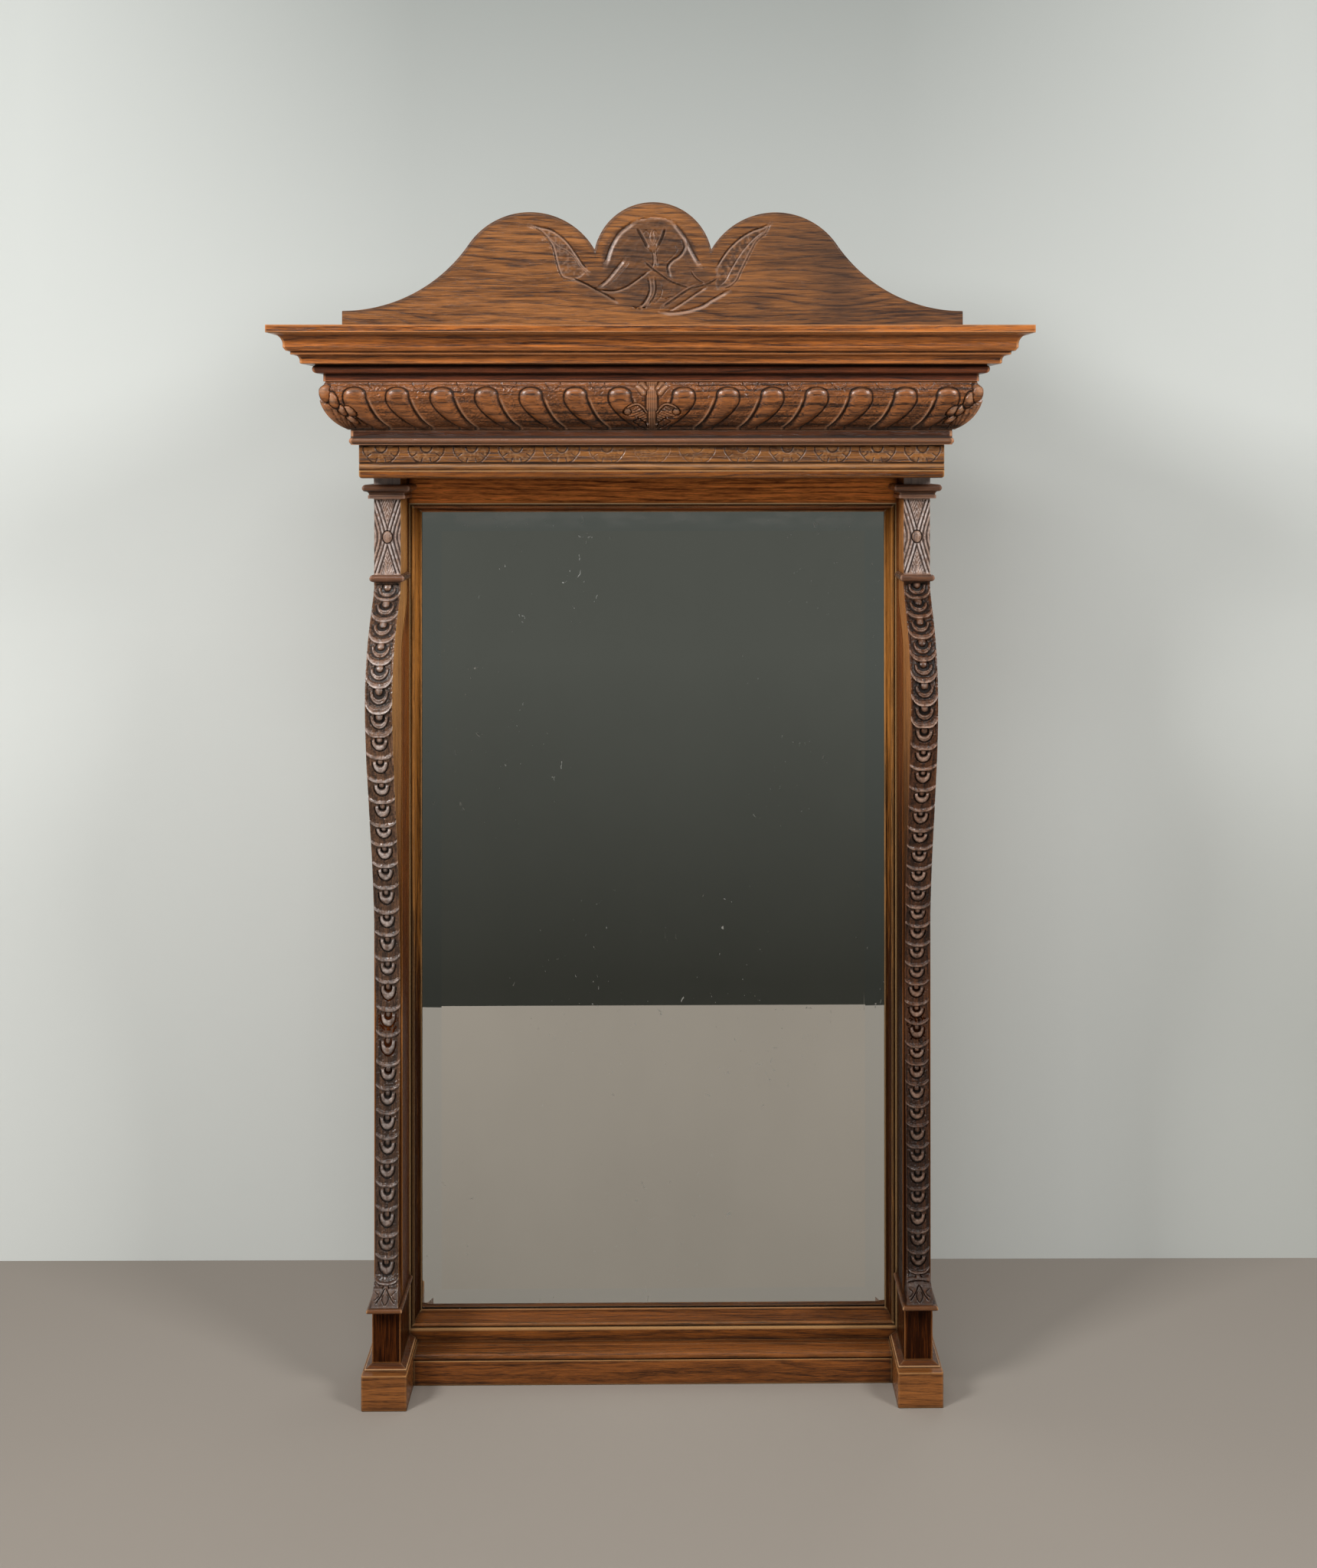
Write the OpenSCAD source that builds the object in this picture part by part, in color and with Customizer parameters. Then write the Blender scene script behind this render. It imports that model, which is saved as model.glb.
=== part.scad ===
// Carved oak mirror: a bevelled glass in a moulded frame between two serpentine
// posts on block feet, under a carved entablature and a lobed pediment board.
// X runs to the right, the front faces -Y and Z is up. The feet stand on Z = 0
// and the origin is the middle of the floor area that the mirror covers.
// Depths, named *_d, are measured forward from the flat back of the mirror.

/* [Glass and frame] */
// Width of the glass that shows
sight_w = 601; // [400:1:900]
// Height of the glass that shows
sight_h = 1034.5; // [700:0.5:1400]
// Thickness of the glass
glass_t = 5; // [3:0.5:6]
// Width of the bevel ground on the glass
bevel_w = 33; // [15:1:45]
// Thickness left at the edge of the bevel
bevel_edge_t = 2.5; // [1.5:0.25:2.5]
// Depth of the frame stiles and rails
frame_d = 53; // [44:1:70]
// Depth of the front of the glass
glass_d = 18; // [16:0.5:24]
// Width of the sight moulding round the glass
moulding_w = 12.5; // [11:0.5:18]
// Width of the glass hidden behind the sight moulding
glass_lap = 8; // [5:0.5:9]
// Height of the bottom rail
sill_h = 53.5; // [45:0.5:80]
// Height of the top rail below the soffit
head_h = 34; // [30:1:60]
// Thickness of the backing boards
backing_t = 9; // [6:0.5:10]
// Width of the rebate that holds the backing boards
rebate_w = 10; // [7:0.5:14]
// Number of backing boards
backing_count = 3; // [3:1:3]
// Thickness of the rail tenons
tenon_t = 12; // [8:1:16]
// Length of the rail tenons
tenon_l = 20; // [12:1:28]

/* [Posts] */
// Width of a post
post_w = 35; // [30:1:60]
// Depth of the front of a post behind the shaft
post_d = 117; // [105:1:135]
// Depth of a post behind its upper block
post_top_d = 66; // [62:1:80]
// Length of the curve where the post narrows
post_curve_h = 70; // [50:1:110]
// Height of the narrowing curve below the ring
post_curve_drop = 17; // [8:1:40]
// Width of the shaft at its top
shaft_w = 33; // [26:1:40]
// Width of the shaft near its foot
shaft_low_w = 28.5; // [22:0.5:33]
// Depth of the front of the upper block
block_d = 126; // [118:1:140]
// Depth of the swelling of the shaft
shaft_bulge_d = 202; // [175:1:225]
// Depth of the waist of the shaft
shaft_waist_d = 120; // [119:1:140]
// Depth of the flare at the foot of the shaft
shaft_flare_d = 152; // [140:1:170]
// Height of the carved upper block
block_h = 95; // [60:1:130]
// Height of the neck above the capital
neck_h = 8; // [5:1:20]
// Height of the capital moulding
capital_h = 18; // [14:1:28]
// Projection of the capital moulding
capital_p = 13; // [10:0.5:16]
// Height of the ring moulding
ring_h = 9; // [6:0.5:14]
// Projection of the ring moulding
ring_p = 5; // [3.5:0.5:8]

/* [Feet] */
// Height of the foot block
foot_h = 43; // [30:1:60]
// Depth of the front of the foot block
foot_d = 158; // [150:1:190]
// Overhang of the foot block beside the post
foot_lap = 10.5; // [6:0.5:14]
// Height of the sloping moulding on the foot block
base_h = 6; // [4:0.5:12]
// Height of the pedestal
pedestal_h = 69; // [45:1:110]
// Depth of the front of the pedestal
pedestal_d = 135; // [125:1:145]
// Thickness of the cap on the pedestal
cap_t = 6; // [4:0.5:12]
// Overhang of the cap beside the post
cap_lap = 4.5; // [2:0.5:8]
// Depth of the front of the plinth board
plinth_d = 92; // [80:1:110]
// Thickness of the plinth board
plinth_t = 20; // [14:1:24]
// Height of the top of the plinth ledge
ledge_z = 40; // [30:0.5:42]
// Thickness of the plinth ledge
ledge_t = 9; // [7:0.5:14]

/* [Entablature] */
// Overhang of the frieze beside a post
frieze_lap = 10.5; // [4:0.5:16]
// Depth of the front of the frieze
frieze_d = 172; // [160:1:200]
// Thickness of the frieze boards
board_t = 22; // [16:1:28]
// Thickness of the soffit board
soffit_t = 9.5; // [8:0.5:14]
// Height of the frieze that shows
frieze_h = 31.5; // [20:0.5:60]
// Height of the moulding over the frieze
astragal_h = 18.5; // [14:0.5:26]
// Projection of the moulding over the frieze
astragal_p = 10.5; // [8:0.5:16]
// Height of the gadrooned moulding
gadroon_h = 58; // [40:1:80]
// Projection of the gadrooned moulding
gadroon_p = 42.5; // [30:0.5:44]
// Height of the bed moulding
bed_h = 20.5; // [14:0.5:30]
// Projection of the bed moulding
bed_p = 48.5; // [46:0.5:60]
// Height of the crown moulding
crown_h = 35.5; // [28:0.5:50]
// Projection of the crown moulding
crown_p = 92; // [84:0.5:110]
// Thickness of the cornice board
cornice_t = 9; // [8:0.5:18]
// Overhang of the cornice board over the crown moulding
cornice_lap = 3.3; // [1:0.1:8]

/* [Pediment] */
// Height of the pediment board at its middle
pediment_h = 170.5; // [150:0.5:230]
// Thickness of the pediment board
pediment_t = 20; // [14:1:26]
// Depth of the back of the pediment board
pediment_back_d = 30; // [26:1:60]
// Half of the width of the pediment board
pediment_x = 399; // [390:1:430]
// Height of the ends of the pediment board
pediment_end_h = 30.5; // [15:0.5:45]
// Radius of the middle lobe
lobe_r = 76.6; // [68:0.2:82]
// Radius of the side humps
hump_r = 95.8; // [88:0.2:105]
// Distance of a hump from the middle
hump_x = 158; // [145:1:165]
// Distance of the hump tops below the middle lobe's top
hump_drop = 13; // [4:0.5:22]

/* [Fixings] */
// Diameter of the dowels
dowel_dia = 8; // [6:1:12]
// Length of the dowels
dowel_l = 30; // [24:1:40]
// Diameter of the screw shanks
screw_dia = 4.5; // [3.5:0.5:6]
// Diameter of the backing board pins
pin_dia = 1.6; // [1.2:0.2:2.4]
// Clearance between parts that fit together
fit = 0.2; // [0.1:0.05:0.4]

/* [Hidden] */

$fn = 64;

// Widths, from the glass outward
sight_x = sight_w / 2;
post_x = sight_x + moulding_w;
post_out_x = post_x + post_w;
post_mid_x = post_x + post_w / 2;
frieze_x = post_out_x + frieze_lap;
foot_x = post_x - foot_lap;
foot_out_x = post_out_x + foot_lap;

// Heights, from the floor up
base_z = foot_h;
pedestal_z = base_z + base_h;
cap_z = pedestal_z + pedestal_h;
shaft_z = cap_z + cap_t;
sight_z = sill_h + moulding_w;
head_z = sight_z + sight_h + moulding_w;
soffit_z = head_z + head_h;
capital_z = soffit_z - neck_h - capital_h;
ring_z = capital_z - block_h - ring_h;
frieze_z = soffit_z + soffit_t;
astragal_z = frieze_z + frieze_h;
gadroon_z = astragal_z + astragal_h;
bed_z = gadroon_z + gadroon_h;
crown_z = bed_z + bed_h;
cornice_z = crown_z + crown_h;
pediment_z = cornice_z + cornice_t;

// Depths. The back of the mirror lies at Y = wall_y.
cornice_p = crown_p + cornice_lap;
cornice_d = frieze_d + cornice_p;
wall_y = cornice_d / 2;
oak = "saddlebrown";
oak_dark = "sienna";

// Box between two X values, two depths and two heights
module slab(x0, x1, d0, d1, z0, z1) {
    translate([x0, wall_y - d1, z0]) cube([x1 - x0, d1 - d0, z1 - z0]);
}

// Extrudes an outline drawn as (depth, height) from x0 to x1
module along_x(x0, x1) {
    translate([x0, wall_y, 0]) rotate([90, 0, 90])
        linear_extrude(x1 - x0) mirror([1, 0]) children();
}

// Extrudes an outline drawn as (X, height) from depth d0 to depth d1
module along_d(d0, d1) {
    translate([0, wall_y - d0, 0]) rotate([90, 0, 0])
        linear_extrude(d1 - d0) children();
}

// Extrudes an outline drawn as (X, depth) from height z0 to height z1
module along_z(z0, z1) {
    translate([0, wall_y, z0]) linear_extrude(z1 - z0) mirror([0, 1]) children();
}

// Rod from a back depth to a front depth
module rod_d(x, z, d0, d1, dia) {
    translate([x, wall_y - d0, z]) rotate([90, 0, 0]) cylinder(d = dia, h = d1 - d0, $fn = 32);
}

// Upright rod
module rod_z(x, d, z0, z1, dia) {
    translate([x, wall_y - d, z0]) cylinder(d = dia, h = z1 - z0, $fn = 32);
}

// Radius of a circle that is upright at its widest point and passes dp behind
// it at a height dz away
function round_r_through(dp, dz) = (dp * dp + dz * dz) / (2 * dp);

// Circle through points a and b that bulges s to the right of the line from a to b
module arc_fill(a, b, s) {
    chord = norm(b - a);
    right = [b[1] - a[1], a[0] - b[0]] / chord;
    r = chord * chord / (8 * s) + s / 2;
    translate((a + b) / 2 - right * (r - s)) circle(r, $fn = 128);
}

// Draws its children on the left as they are drawn on the right
module on_left() {
    mirror([1, 0, 0]) children();
}

// Glass, its slips and the boards behind it

slip_t = glass_d - glass_t - backing_t;
glass_x = sight_x + glass_lap;
board_x = post_x + rebate_w - fit;
board_z0 = sill_h - rebate_w + fit;
board_z1 = head_z + rebate_w - fit;
backing_h = (board_z1 - board_z0) / backing_count;
pin_inset = rebate_w / 2;
pin_l = backing_t * 2.8;
pins_side = 7;

// Outline of a plate whose front face at y = glass_t has ground edges
module bevel_outline(lo, hi) {
    polygon([[lo, 0], [hi, 0], [hi, bevel_edge_t], [hi - bevel_w, glass_t],
        [lo + bevel_w, glass_t], [lo, bevel_edge_t]]);
}

module glass_plate() {
    color("lightsteelblue") intersection() {
        along_z(sight_z - glass_lap, sight_z + sight_h + glass_lap)
            translate([0, glass_d - glass_t]) bevel_outline(-glass_x, glass_x);
        translate([-glass_x, wall_y - glass_d + glass_t, 0]) rotate([90, 0, 90])
            linear_extrude(2 * glass_x) mirror([1, 0]) mirror([1, -1])
                bevel_outline(sight_z - glass_lap, sight_z + sight_h + glass_lap);
    }
}

// Four slips that hold the glass against the sight moulding
module glazing_slips() {
    z0 = sill_h + fit;
    z1 = head_z - fit;
    x1 = post_x - fit;
    slip_w = rebate_w;
    color("burlywood") {
        for (s = [0, 1]) mirror([s, 0, 0])
            slab(x1 - slip_w, x1, backing_t, backing_t + slip_t, z0, z1);
        for (z = [z0, z1 - slip_w])
            slab(fit + slip_w - x1, x1 - slip_w - fit, backing_t, backing_t + slip_t, z, z + slip_w);
    }
}

// One backing board, counted from the bottom
module backing_board(i) {
    z0 = board_z0 + i * backing_h;
    color("tan") difference() {
        slab(-board_x, board_x, 0, backing_t, z0 + fit / 2, z0 + backing_h - fit / 2);
        pins(pin_dia + fit);
    }
}

// Pins through the backing boards into the stiles
module pins(dia) {
    step = (board_z1 - board_z0) / pins_side;
    for (s = [-1, 1])
        for (i = [0 : pins_side - 1])
            rod_d(s * (post_x + pin_inset), board_z0 + (i + 0.5) * step, 0, pin_l, dia);
}

module backing_pins() {
    color("dimgray") pins(pin_dia);
}

// Frame of stiles and rails

tenon_d0 = backing_t + 11;
tenon_top_z0 = head_z + rebate_w + 3;
tenon_top_z1 = soffit_z - 6;
tenon_low_z0 = 8;
tenon_low_z1 = sill_h - rebate_w - 3;

// Tenon on the right end of a rail, or its mortise with grow = fit
module tenon(z0, z1, grow) {
    slab(post_x - 1, post_x + tenon_l + grow, tenon_d0 - grow, tenon_d0 + tenon_t + grow,
        z0 - grow, z1 + grow);
}

module stile() {
    color(oak) difference() {
        slab(post_x, post_out_x, 0, frame_d, 0, soffit_z);
        slab(post_x - 1, post_x + rebate_w, -1, backing_t, sill_h - rebate_w, head_z + rebate_w);
        tenon(tenon_top_z0, tenon_top_z1, fit);
        tenon(tenon_low_z0, tenon_low_z1, fit);
        pins(pin_dia + fit);
        screw_holes();
    }
}

module left_stile() {
    on_left() stile();
}

module right_stile() {
    stile();
}

// Rail between the stiles with its rebate on the glass side
module rail(z0, z1, rebate_z0, t0, t1) {
    color(oak) {
        difference() {
            slab(-post_x, post_x, 0, frame_d, z0, z1);
            slab(-post_x - 1, post_x + 1, -1, backing_t, rebate_z0, rebate_z0 + rebate_w);
        }
        for (s = [0, 1]) mirror([s, 0, 0]) tenon(t0, t1, 0);
    }
}

module top_rail() {
    rail(head_z, soffit_z, head_z, tenon_top_z0, tenon_top_z1);
}

module bottom_rail() {
    rail(0, sill_h, sill_h - rebate_w, tenon_low_z0, tenon_low_z1);
}

// Sight moulding: a bead at the glass, a hollow, a round member and a fillet.
// Its outline is drawn as (distance from the glass edge, height over the glass).

sight_t = frame_d - glass_d;
lip_r = 1.6;
round_r = 2.6;
fillet_w = 1.6;

module sight_outline() {
    round_c = [moulding_w - fillet_w - round_r + 0.3, sight_t - 6];
    hollow_low = [2 * lip_r, 2 * lip_r];
    hollow_top = [round_c[0] - round_r + 0.5, round_c[1] - 1];
    translate([lip_r, lip_r]) circle(lip_r);
    translate([lip_r, 0]) square([moulding_w - lip_r, 2 * lip_r]);
    translate(round_c) circle(round_r);
    translate([moulding_w - fillet_w, 0]) square([fillet_w, sight_t]);
    difference() {
        polygon([hollow_low, [moulding_w - 1, hollow_low[1] - 1], [moulding_w - 1, round_c[1]],
            [round_c[0], round_c[1]], hollow_top]);
        arc_fill(hollow_low, hollow_top, 1.8);
    }
}

// Corner of the opening outside the moulding, as a mitred half frame plan.
// A side piece is kept where it is nearer to the side than to the top or bottom.
module side_keep() {
    z0 = sill_h;
    z1 = head_z;
    reach = moulding_w + 1;
    polygon([[post_x, z0], [post_x, z1], [post_x - reach, z1 - reach], [post_x - reach, z0 + reach]]);
}

module top_keep() {
    reach = moulding_w + 1;
    polygon([[-post_x, head_z], [post_x, head_z], [post_x - reach, head_z - reach],
        [reach - post_x, head_z - reach]]);
}

module bottom_keep() {
    reach = moulding_w + 1;
    polygon([[-post_x, sill_h], [post_x, sill_h], [post_x - reach, sill_h + reach],
        [reach - post_x, sill_h + reach]]);
}

module sight_side() {
    color(oak_dark) intersection() {
        along_z(sill_h, head_z) translate([sight_x, glass_d]) sight_outline();
        along_d(glass_d - 1, frame_d + 1) side_keep();
    }
}

module sight_moulding_right() {
    sight_side();
}

module sight_moulding_left() {
    on_left() sight_side();
}

module sight_moulding_top() {
    color(oak_dark) intersection() {
        along_x(-post_x, post_x) translate([glass_d, sight_z + sight_h]) mirror([1, -1]) sight_outline();
        along_d(glass_d - 1, frame_d + 1) top_keep();
    }
}

module sight_moulding_bottom() {
    color(oak_dark) intersection() {
        along_x(-post_x, post_x) translate([glass_d, sight_z]) mirror([0, 1]) mirror([1, -1])
            sight_outline();
        along_d(glass_d - 1, frame_d + 1) bottom_keep();
    }
}

// Posts and serpentine shafts

curve_z1 = ring_z - post_curve_drop;
curve_z0 = curve_z1 - post_curve_h;
shaft_h = ring_z - shaft_z;
shaft_x0 = post_mid_x - shaft_w / 2;
shaft_x1 = post_mid_x + shaft_w / 2;

// Smooth ease from 0 to 1
function ease(t) = (1 - cos(180 * t)) / 2;

// Points of an eased line between two (depth, height) points
function eased(a, b, n = 12) = [for (i = [0 : n - 1])
    [a[0] + (b[0] - a[0]) * ease(i / n), a[1] + (b[1] - a[1]) * i / n]];

// Joint line between post and shaft, from the cap up to the ring
joint_line = concat([[post_d, shaft_z]], eased([post_d, curve_z0], [post_top_d, curve_z1]),
    [[post_top_d, curve_z1], [post_top_d, ring_z]]);

// Front of the shaft as stations of depth and share of its height
flare_h = 36;
front_stations = [
    [shaft_flare_d, shaft_z], [shaft_flare_d - 7, shaft_z + flare_h / 2],
    [shaft_waist_d + 13, shaft_z + flare_h], [shaft_waist_d + 12, shaft_z + 0.075 * shaft_h],
    [shaft_waist_d + 8, shaft_z + 0.21 * shaft_h], [shaft_waist_d, shaft_z + 0.4 * shaft_h],
    [shaft_waist_d + 19, shaft_z + 0.575 * shaft_h], [shaft_waist_d + 50, shaft_z + 0.69 * shaft_h],
    [shaft_bulge_d - 8, shaft_z + 0.776 * shaft_h], [shaft_bulge_d, shaft_z + 0.84 * shaft_h],
    [shaft_bulge_d - 8, shaft_z + 0.889 * shaft_h], [block_d + 44, shaft_z + 0.936 * shaft_h],
    [block_d + 4, ring_z - 14], [block_d, ring_z]];

// Point of a smooth curve through points p, between stations i and i + 1
function on_curve(p, i, t) = let (
        n = len(p),
        a = p[max(i - 1, 0)],
        b = p[i],
        c = p[min(i + 1, n - 1)],
        d = p[min(i + 2, n - 1)])
    0.5 * (2 * b + (c - a) * t + (2 * a - 5 * b + 4 * c - d) * t * t
        + (3 * b - a - 3 * c + d) * t * t * t);

// The front line from the foot up
front_line = [for (i = [0 : len(front_stations) - 2]) for (k = [0 : 3])
    on_curve(front_stations, i, k / 4)];

function reversed(p) = [for (i = [len(p) - 1 : -1 : 0]) p[i]];

module shaft() {
    slim = (shaft_w - shaft_low_w) / 2;
    low_z = shaft_z + 0.2 * shaft_h;
    high_z = shaft_z + 0.75 * shaft_h;
    half = shaft_w / 2;
    color(oak_dark) intersection() {
        along_x(shaft_x0, shaft_x1)
            polygon(concat(front_line, [[block_d, ring_z]], reversed(joint_line)));
        along_d(post_top_d - 1, shaft_bulge_d + 5) translate([post_mid_x, 0])
            polygon([[-half, shaft_z], [slim - half, shaft_z + flare_h], [slim - half, low_z],
                [-half, high_z], [-half, ring_z], [half, ring_z], [half, high_z],
                [half - slim, low_z], [half - slim, shaft_z + flare_h], [half, shaft_z]]);
    }
}

module left_shaft() {
    on_left() shaft();
}

module right_shaft() {
    shaft();
}

module post() {
    color(oak) difference() {
        along_x(post_x, post_out_x) polygon(concat([[frame_d, shaft_z]], joint_line,
            [[post_top_d, soffit_z], [frame_d, soffit_z]]));
        screw_holes();
    }
}

module left_post() {
    on_left() post();
}

module right_post() {
    post();
}

// Upper block with the neck that passes through the capital
module panel_block() {
    color(oak_dark) difference() {
        slab(shaft_x0, shaft_x1, post_top_d, block_d, ring_z, soffit_z);
        block_dowels(fit);
    }
}

module left_panel_block() {
    on_left() panel_block();
}

module right_panel_block() {
    panel_block();
}

// A moulding that wraps the front and both sides of the upper block, mitred at its corners.
// The outline is drawn as (projection, height).
module block_wrap(z0, z1, reach) {
    half = shaft_w / 2;
    far = reach + 1;
    translate([post_mid_x, 0, 0]) difference() {
        intersection() {
            along_x(-half - far, half + far) {
                translate([block_d, 0]) children();
                translate([post_top_d, z0]) square([block_d - post_top_d, z1 - z0]);
            }
            along_d(post_top_d, block_d + far) for (s = [0, 1]) mirror([s, 0]) {
                translate([half, 0]) children();
                translate([0, z0]) square([half, z1 - z0]);
            }
        }
        slab(-half, half, post_top_d - 1, block_d, z0 - 1, z1 + 1);
    }
}

// Capital: a flat band, a hollow and a rounded top member
module capital_outline() {
    band = [capital_p / 2, capital_h * 0.24];
    nose_r = capital_h * 0.24;
    nose = [capital_p - nose_r, capital_h - nose_r - 0.5];
    square(band);
    difference() {
        polygon([[0, 0], [band[0] - 1, 0], [band[0] - 1, band[1]], nose - [0, nose_r], nose,
            [0, nose[1]]]);
        arc_fill(nose - [0, nose_r], [band[0] - 1, band[1]], 1.2);
    }
    translate(nose) circle(nose_r);
    translate([0, nose[1]]) square([nose[0], nose_r]);
}

module capital() {
    color(oak) block_wrap(capital_z, capital_z + capital_h, capital_p)
        translate([0, capital_z]) capital_outline();
}

module left_capital() {
    on_left() capital();
}

module right_capital() {
    capital();
}

// Ring: a short flat edge and a round that is fullest at half its height
module ring_outline() {
    edge = ring_p * 0.2;
    r = round_r_through(ring_p - edge, ring_h / 2);
    square([edge, ring_h]);
    intersection() {
        translate([edge, 0]) square([ring_p - edge, ring_h]);
        translate([ring_p - r, ring_h / 2]) circle(r);
    }
}

module ring() {
    color(oak) block_wrap(ring_z, ring_z + ring_h, ring_p)
        translate([0, ring_z]) ring_outline();
}

module left_ring() {
    on_left() ring();
}

module right_ring() {
    ring();
}

// Feet

cap_d = shaft_flare_d + cap_lap;
base_lap = foot_lap - 2;

module plinth_cap() {
    edge = cap_t / 2;
    color(oak) intersection() {
        along_x(post_x - cap_lap, post_out_x + cap_lap) {
            translate([frame_d, cap_z]) square([cap_d - edge - frame_d, cap_t]);
            translate([cap_d - edge, cap_z + edge]) circle(edge);
        }
        along_d(frame_d, cap_d) {
            for (x = [post_x - cap_lap + edge, post_out_x + cap_lap - edge])
                translate([x, cap_z + edge]) circle(edge);
            translate([post_x - cap_lap + edge, cap_z])
                square([post_w + 2 * cap_lap - 2 * edge, cap_t]);
        }
    }
}

module left_plinth_cap() {
    on_left() plinth_cap();
}

module right_plinth_cap() {
    plinth_cap();
}

module pedestal() {
    color(oak) difference() {
        slab(post_x, post_out_x, frame_d, pedestal_d, pedestal_z, cap_z);
        foot_dowels(fit);
    }
}

module left_pedestal() {
    on_left() pedestal();
}

module right_pedestal() {
    pedestal();
}

// Sloping moulding that spreads from the pedestal to the foot block.
// Its edge is drawn as (projection, height) with a hollow in it.
module base_edge() {
    difference() {
        polygon([[-1, 0], [base_lap, 0], [base_lap, base_h * 0.2], [1, base_h], [-1, base_h]]);
        translate([base_lap, base_h * 1.25]) circle(base_h * 0.9);
    }
}

module base_moulding() {
    color(oak) difference() {
        intersection() {
            along_x(post_x - base_lap, post_out_x + base_lap) translate([0, base_z]) {
                translate([frame_d, 0]) square([pedestal_d - frame_d, base_h]);
                translate([pedestal_d, 0]) base_edge();
            }
            along_d(frame_d, pedestal_d + base_lap) translate([0, base_z]) {
                translate([post_x, 0]) square([post_w, base_h]);
                translate([post_out_x, 0]) base_edge();
                translate([post_x, 0]) mirror([1, 0]) base_edge();
            }
        }
        foot_dowels(fit);
    }
}

module left_base_moulding() {
    on_left() base_moulding();
}

module right_base_moulding() {
    base_moulding();
}

module foot_block() {
    ease_r = 2;
    color(oak) difference() {
        intersection() {
            slab(foot_x, foot_out_x, frame_d, foot_d, 0, foot_h);
            along_z(-1, foot_h + 1) {
                translate([foot_x, frame_d - 1])
                    square([foot_out_x - foot_x, foot_d - frame_d + 1 - ease_r]);
                translate([foot_x + ease_r, foot_d - 2 * ease_r])
                    square([foot_out_x - foot_x - 2 * ease_r, 2 * ease_r]);
                for (x = [foot_x + ease_r, foot_out_x - ease_r])
                    translate([x, foot_d - ease_r]) circle(ease_r);
            }
        }
        foot_dowels(fit);
    }
}

module left_foot_block() {
    on_left() foot_block();
}

module right_foot_block() {
    foot_block();
}

// Plinth between the feet

plinth_x = foot_x - fit;
ledge_z0 = ledge_z - ledge_t;

module plinth_board() {
    color(oak) slab(-plinth_x, plinth_x, plinth_d - plinth_t, plinth_d - 1, 0, ledge_z0);
}

module plinth_ledge() {
    nose_r = ledge_t / 2;
    bead_r = ledge_t / 3;
    color(oak) along_x(-plinth_x, plinth_x) {
        difference() {
            translate([frame_d, ledge_z0]) square([plinth_d - nose_r - frame_d, ledge_t - 0.8]);
            translate([plinth_d - nose_r - 1.5, ledge_z]) circle(1.6);
        }
        translate([plinth_d - nose_r, ledge_z0 + nose_r]) circle(nose_r);
        translate([frame_d + 4 * bead_r, ledge_z - bead_r]) circle(bead_r);
    }
}

// Blocks that join the plinth board to the bottom rail
module plinth_blocks() {
    block_w = 40;
    color("burlywood") for (x = [-1, 0, 1])
        translate([x * plinth_x * 0.7, 0, 0])
            slab(-block_w / 2, block_w / 2, frame_d, plinth_d - plinth_t, fit, ledge_z0 - fit);
}

// Entablature: a box of tall boards with mitred mouldings on its face

frieze_back_x = frieze_x - board_t;
frieze_back_d = frieze_d - board_t;

module soffit_board() {
    edge = soffit_t * 0.4;
    color(oak) difference() {
        intersection() {
            along_x(-frieze_x, frieze_x) translate([0, soffit_z]) {
                square([frieze_d - edge, soffit_t]);
                translate([0, edge]) square([frieze_d, soffit_t - edge]);
                translate([frieze_d - edge, edge]) circle(edge);
            }
            along_d(0, frieze_d) translate([0, soffit_z]) {
                translate([edge - frieze_x, 0]) square([2 * (frieze_x - edge), soffit_t]);
                translate([-frieze_x, edge]) square([2 * frieze_x, soffit_t - edge]);
                for (s = [-1, 1]) translate([s * (frieze_x - edge), edge]) circle(edge);
            }
        }
        for (s = [0, 1]) mirror([s, 0, 0]) block_dowels(fit);
    }
}

module frieze_front() {
    color(oak_dark) slab(-frieze_x, frieze_x, frieze_back_d, frieze_d, frieze_z, cornice_z);
}

module frieze_return() {
    color(oak_dark) slab(frieze_back_x, frieze_x, 0, frieze_back_d, frieze_z, cornice_z);
}

module frieze_left_return() {
    on_left() frieze_return();
}

module frieze_right_return() {
    frieze_return();
}

// Front run of a mitred moulding drawn as (projection, height) over the box face
module front_run(z0, z1, reach) {
    far = reach + 1;
    intersection() {
        along_x(-frieze_x - far, frieze_x + far) translate([frieze_d, z0]) children();
        along_z(z0, z1) polygon([[-frieze_x, frieze_d], [frieze_x, frieze_d],
            [frieze_x + far, frieze_d + far], [-frieze_x - far, frieze_d + far]]);
    }
}

// Right return of the same moulding
module side_run(z0, z1, reach) {
    far = reach + 1;
    intersection() {
        along_d(0, frieze_d + far) translate([frieze_x, z0]) children();
        along_z(z0, z1) polygon([[frieze_x, 0], [frieze_x, frieze_d],
            [frieze_x + far, frieze_d + far], [frieze_x + far, 0]]);
    }
}

// Moulding over the frieze: a bead under a fillet
module astragal_outline() {
    bead_r = astragal_h * 0.23;
    square([astragal_p - 2, astragal_h]);
    translate([astragal_p - bead_r, bead_r + 0.5]) circle(bead_r);
}

module astragal_front() {
    color(oak) front_run(astragal_z, gadroon_z, astragal_p) astragal_outline();
}

module astragal_side() {
    color(oak) side_run(astragal_z, gadroon_z, astragal_p) astragal_outline();
}

module astragal_left() {
    on_left() astragal_side();
}

module astragal_right() {
    astragal_side();
}

// Gadrooned moulding: a long round below its widest line and a tight one above
gadroon_foot_p = astragal_p + 1;
gadroon_wide_h = gadroon_h * 0.8;
gadroon_top_p = gadroon_p - 7.5;

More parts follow.
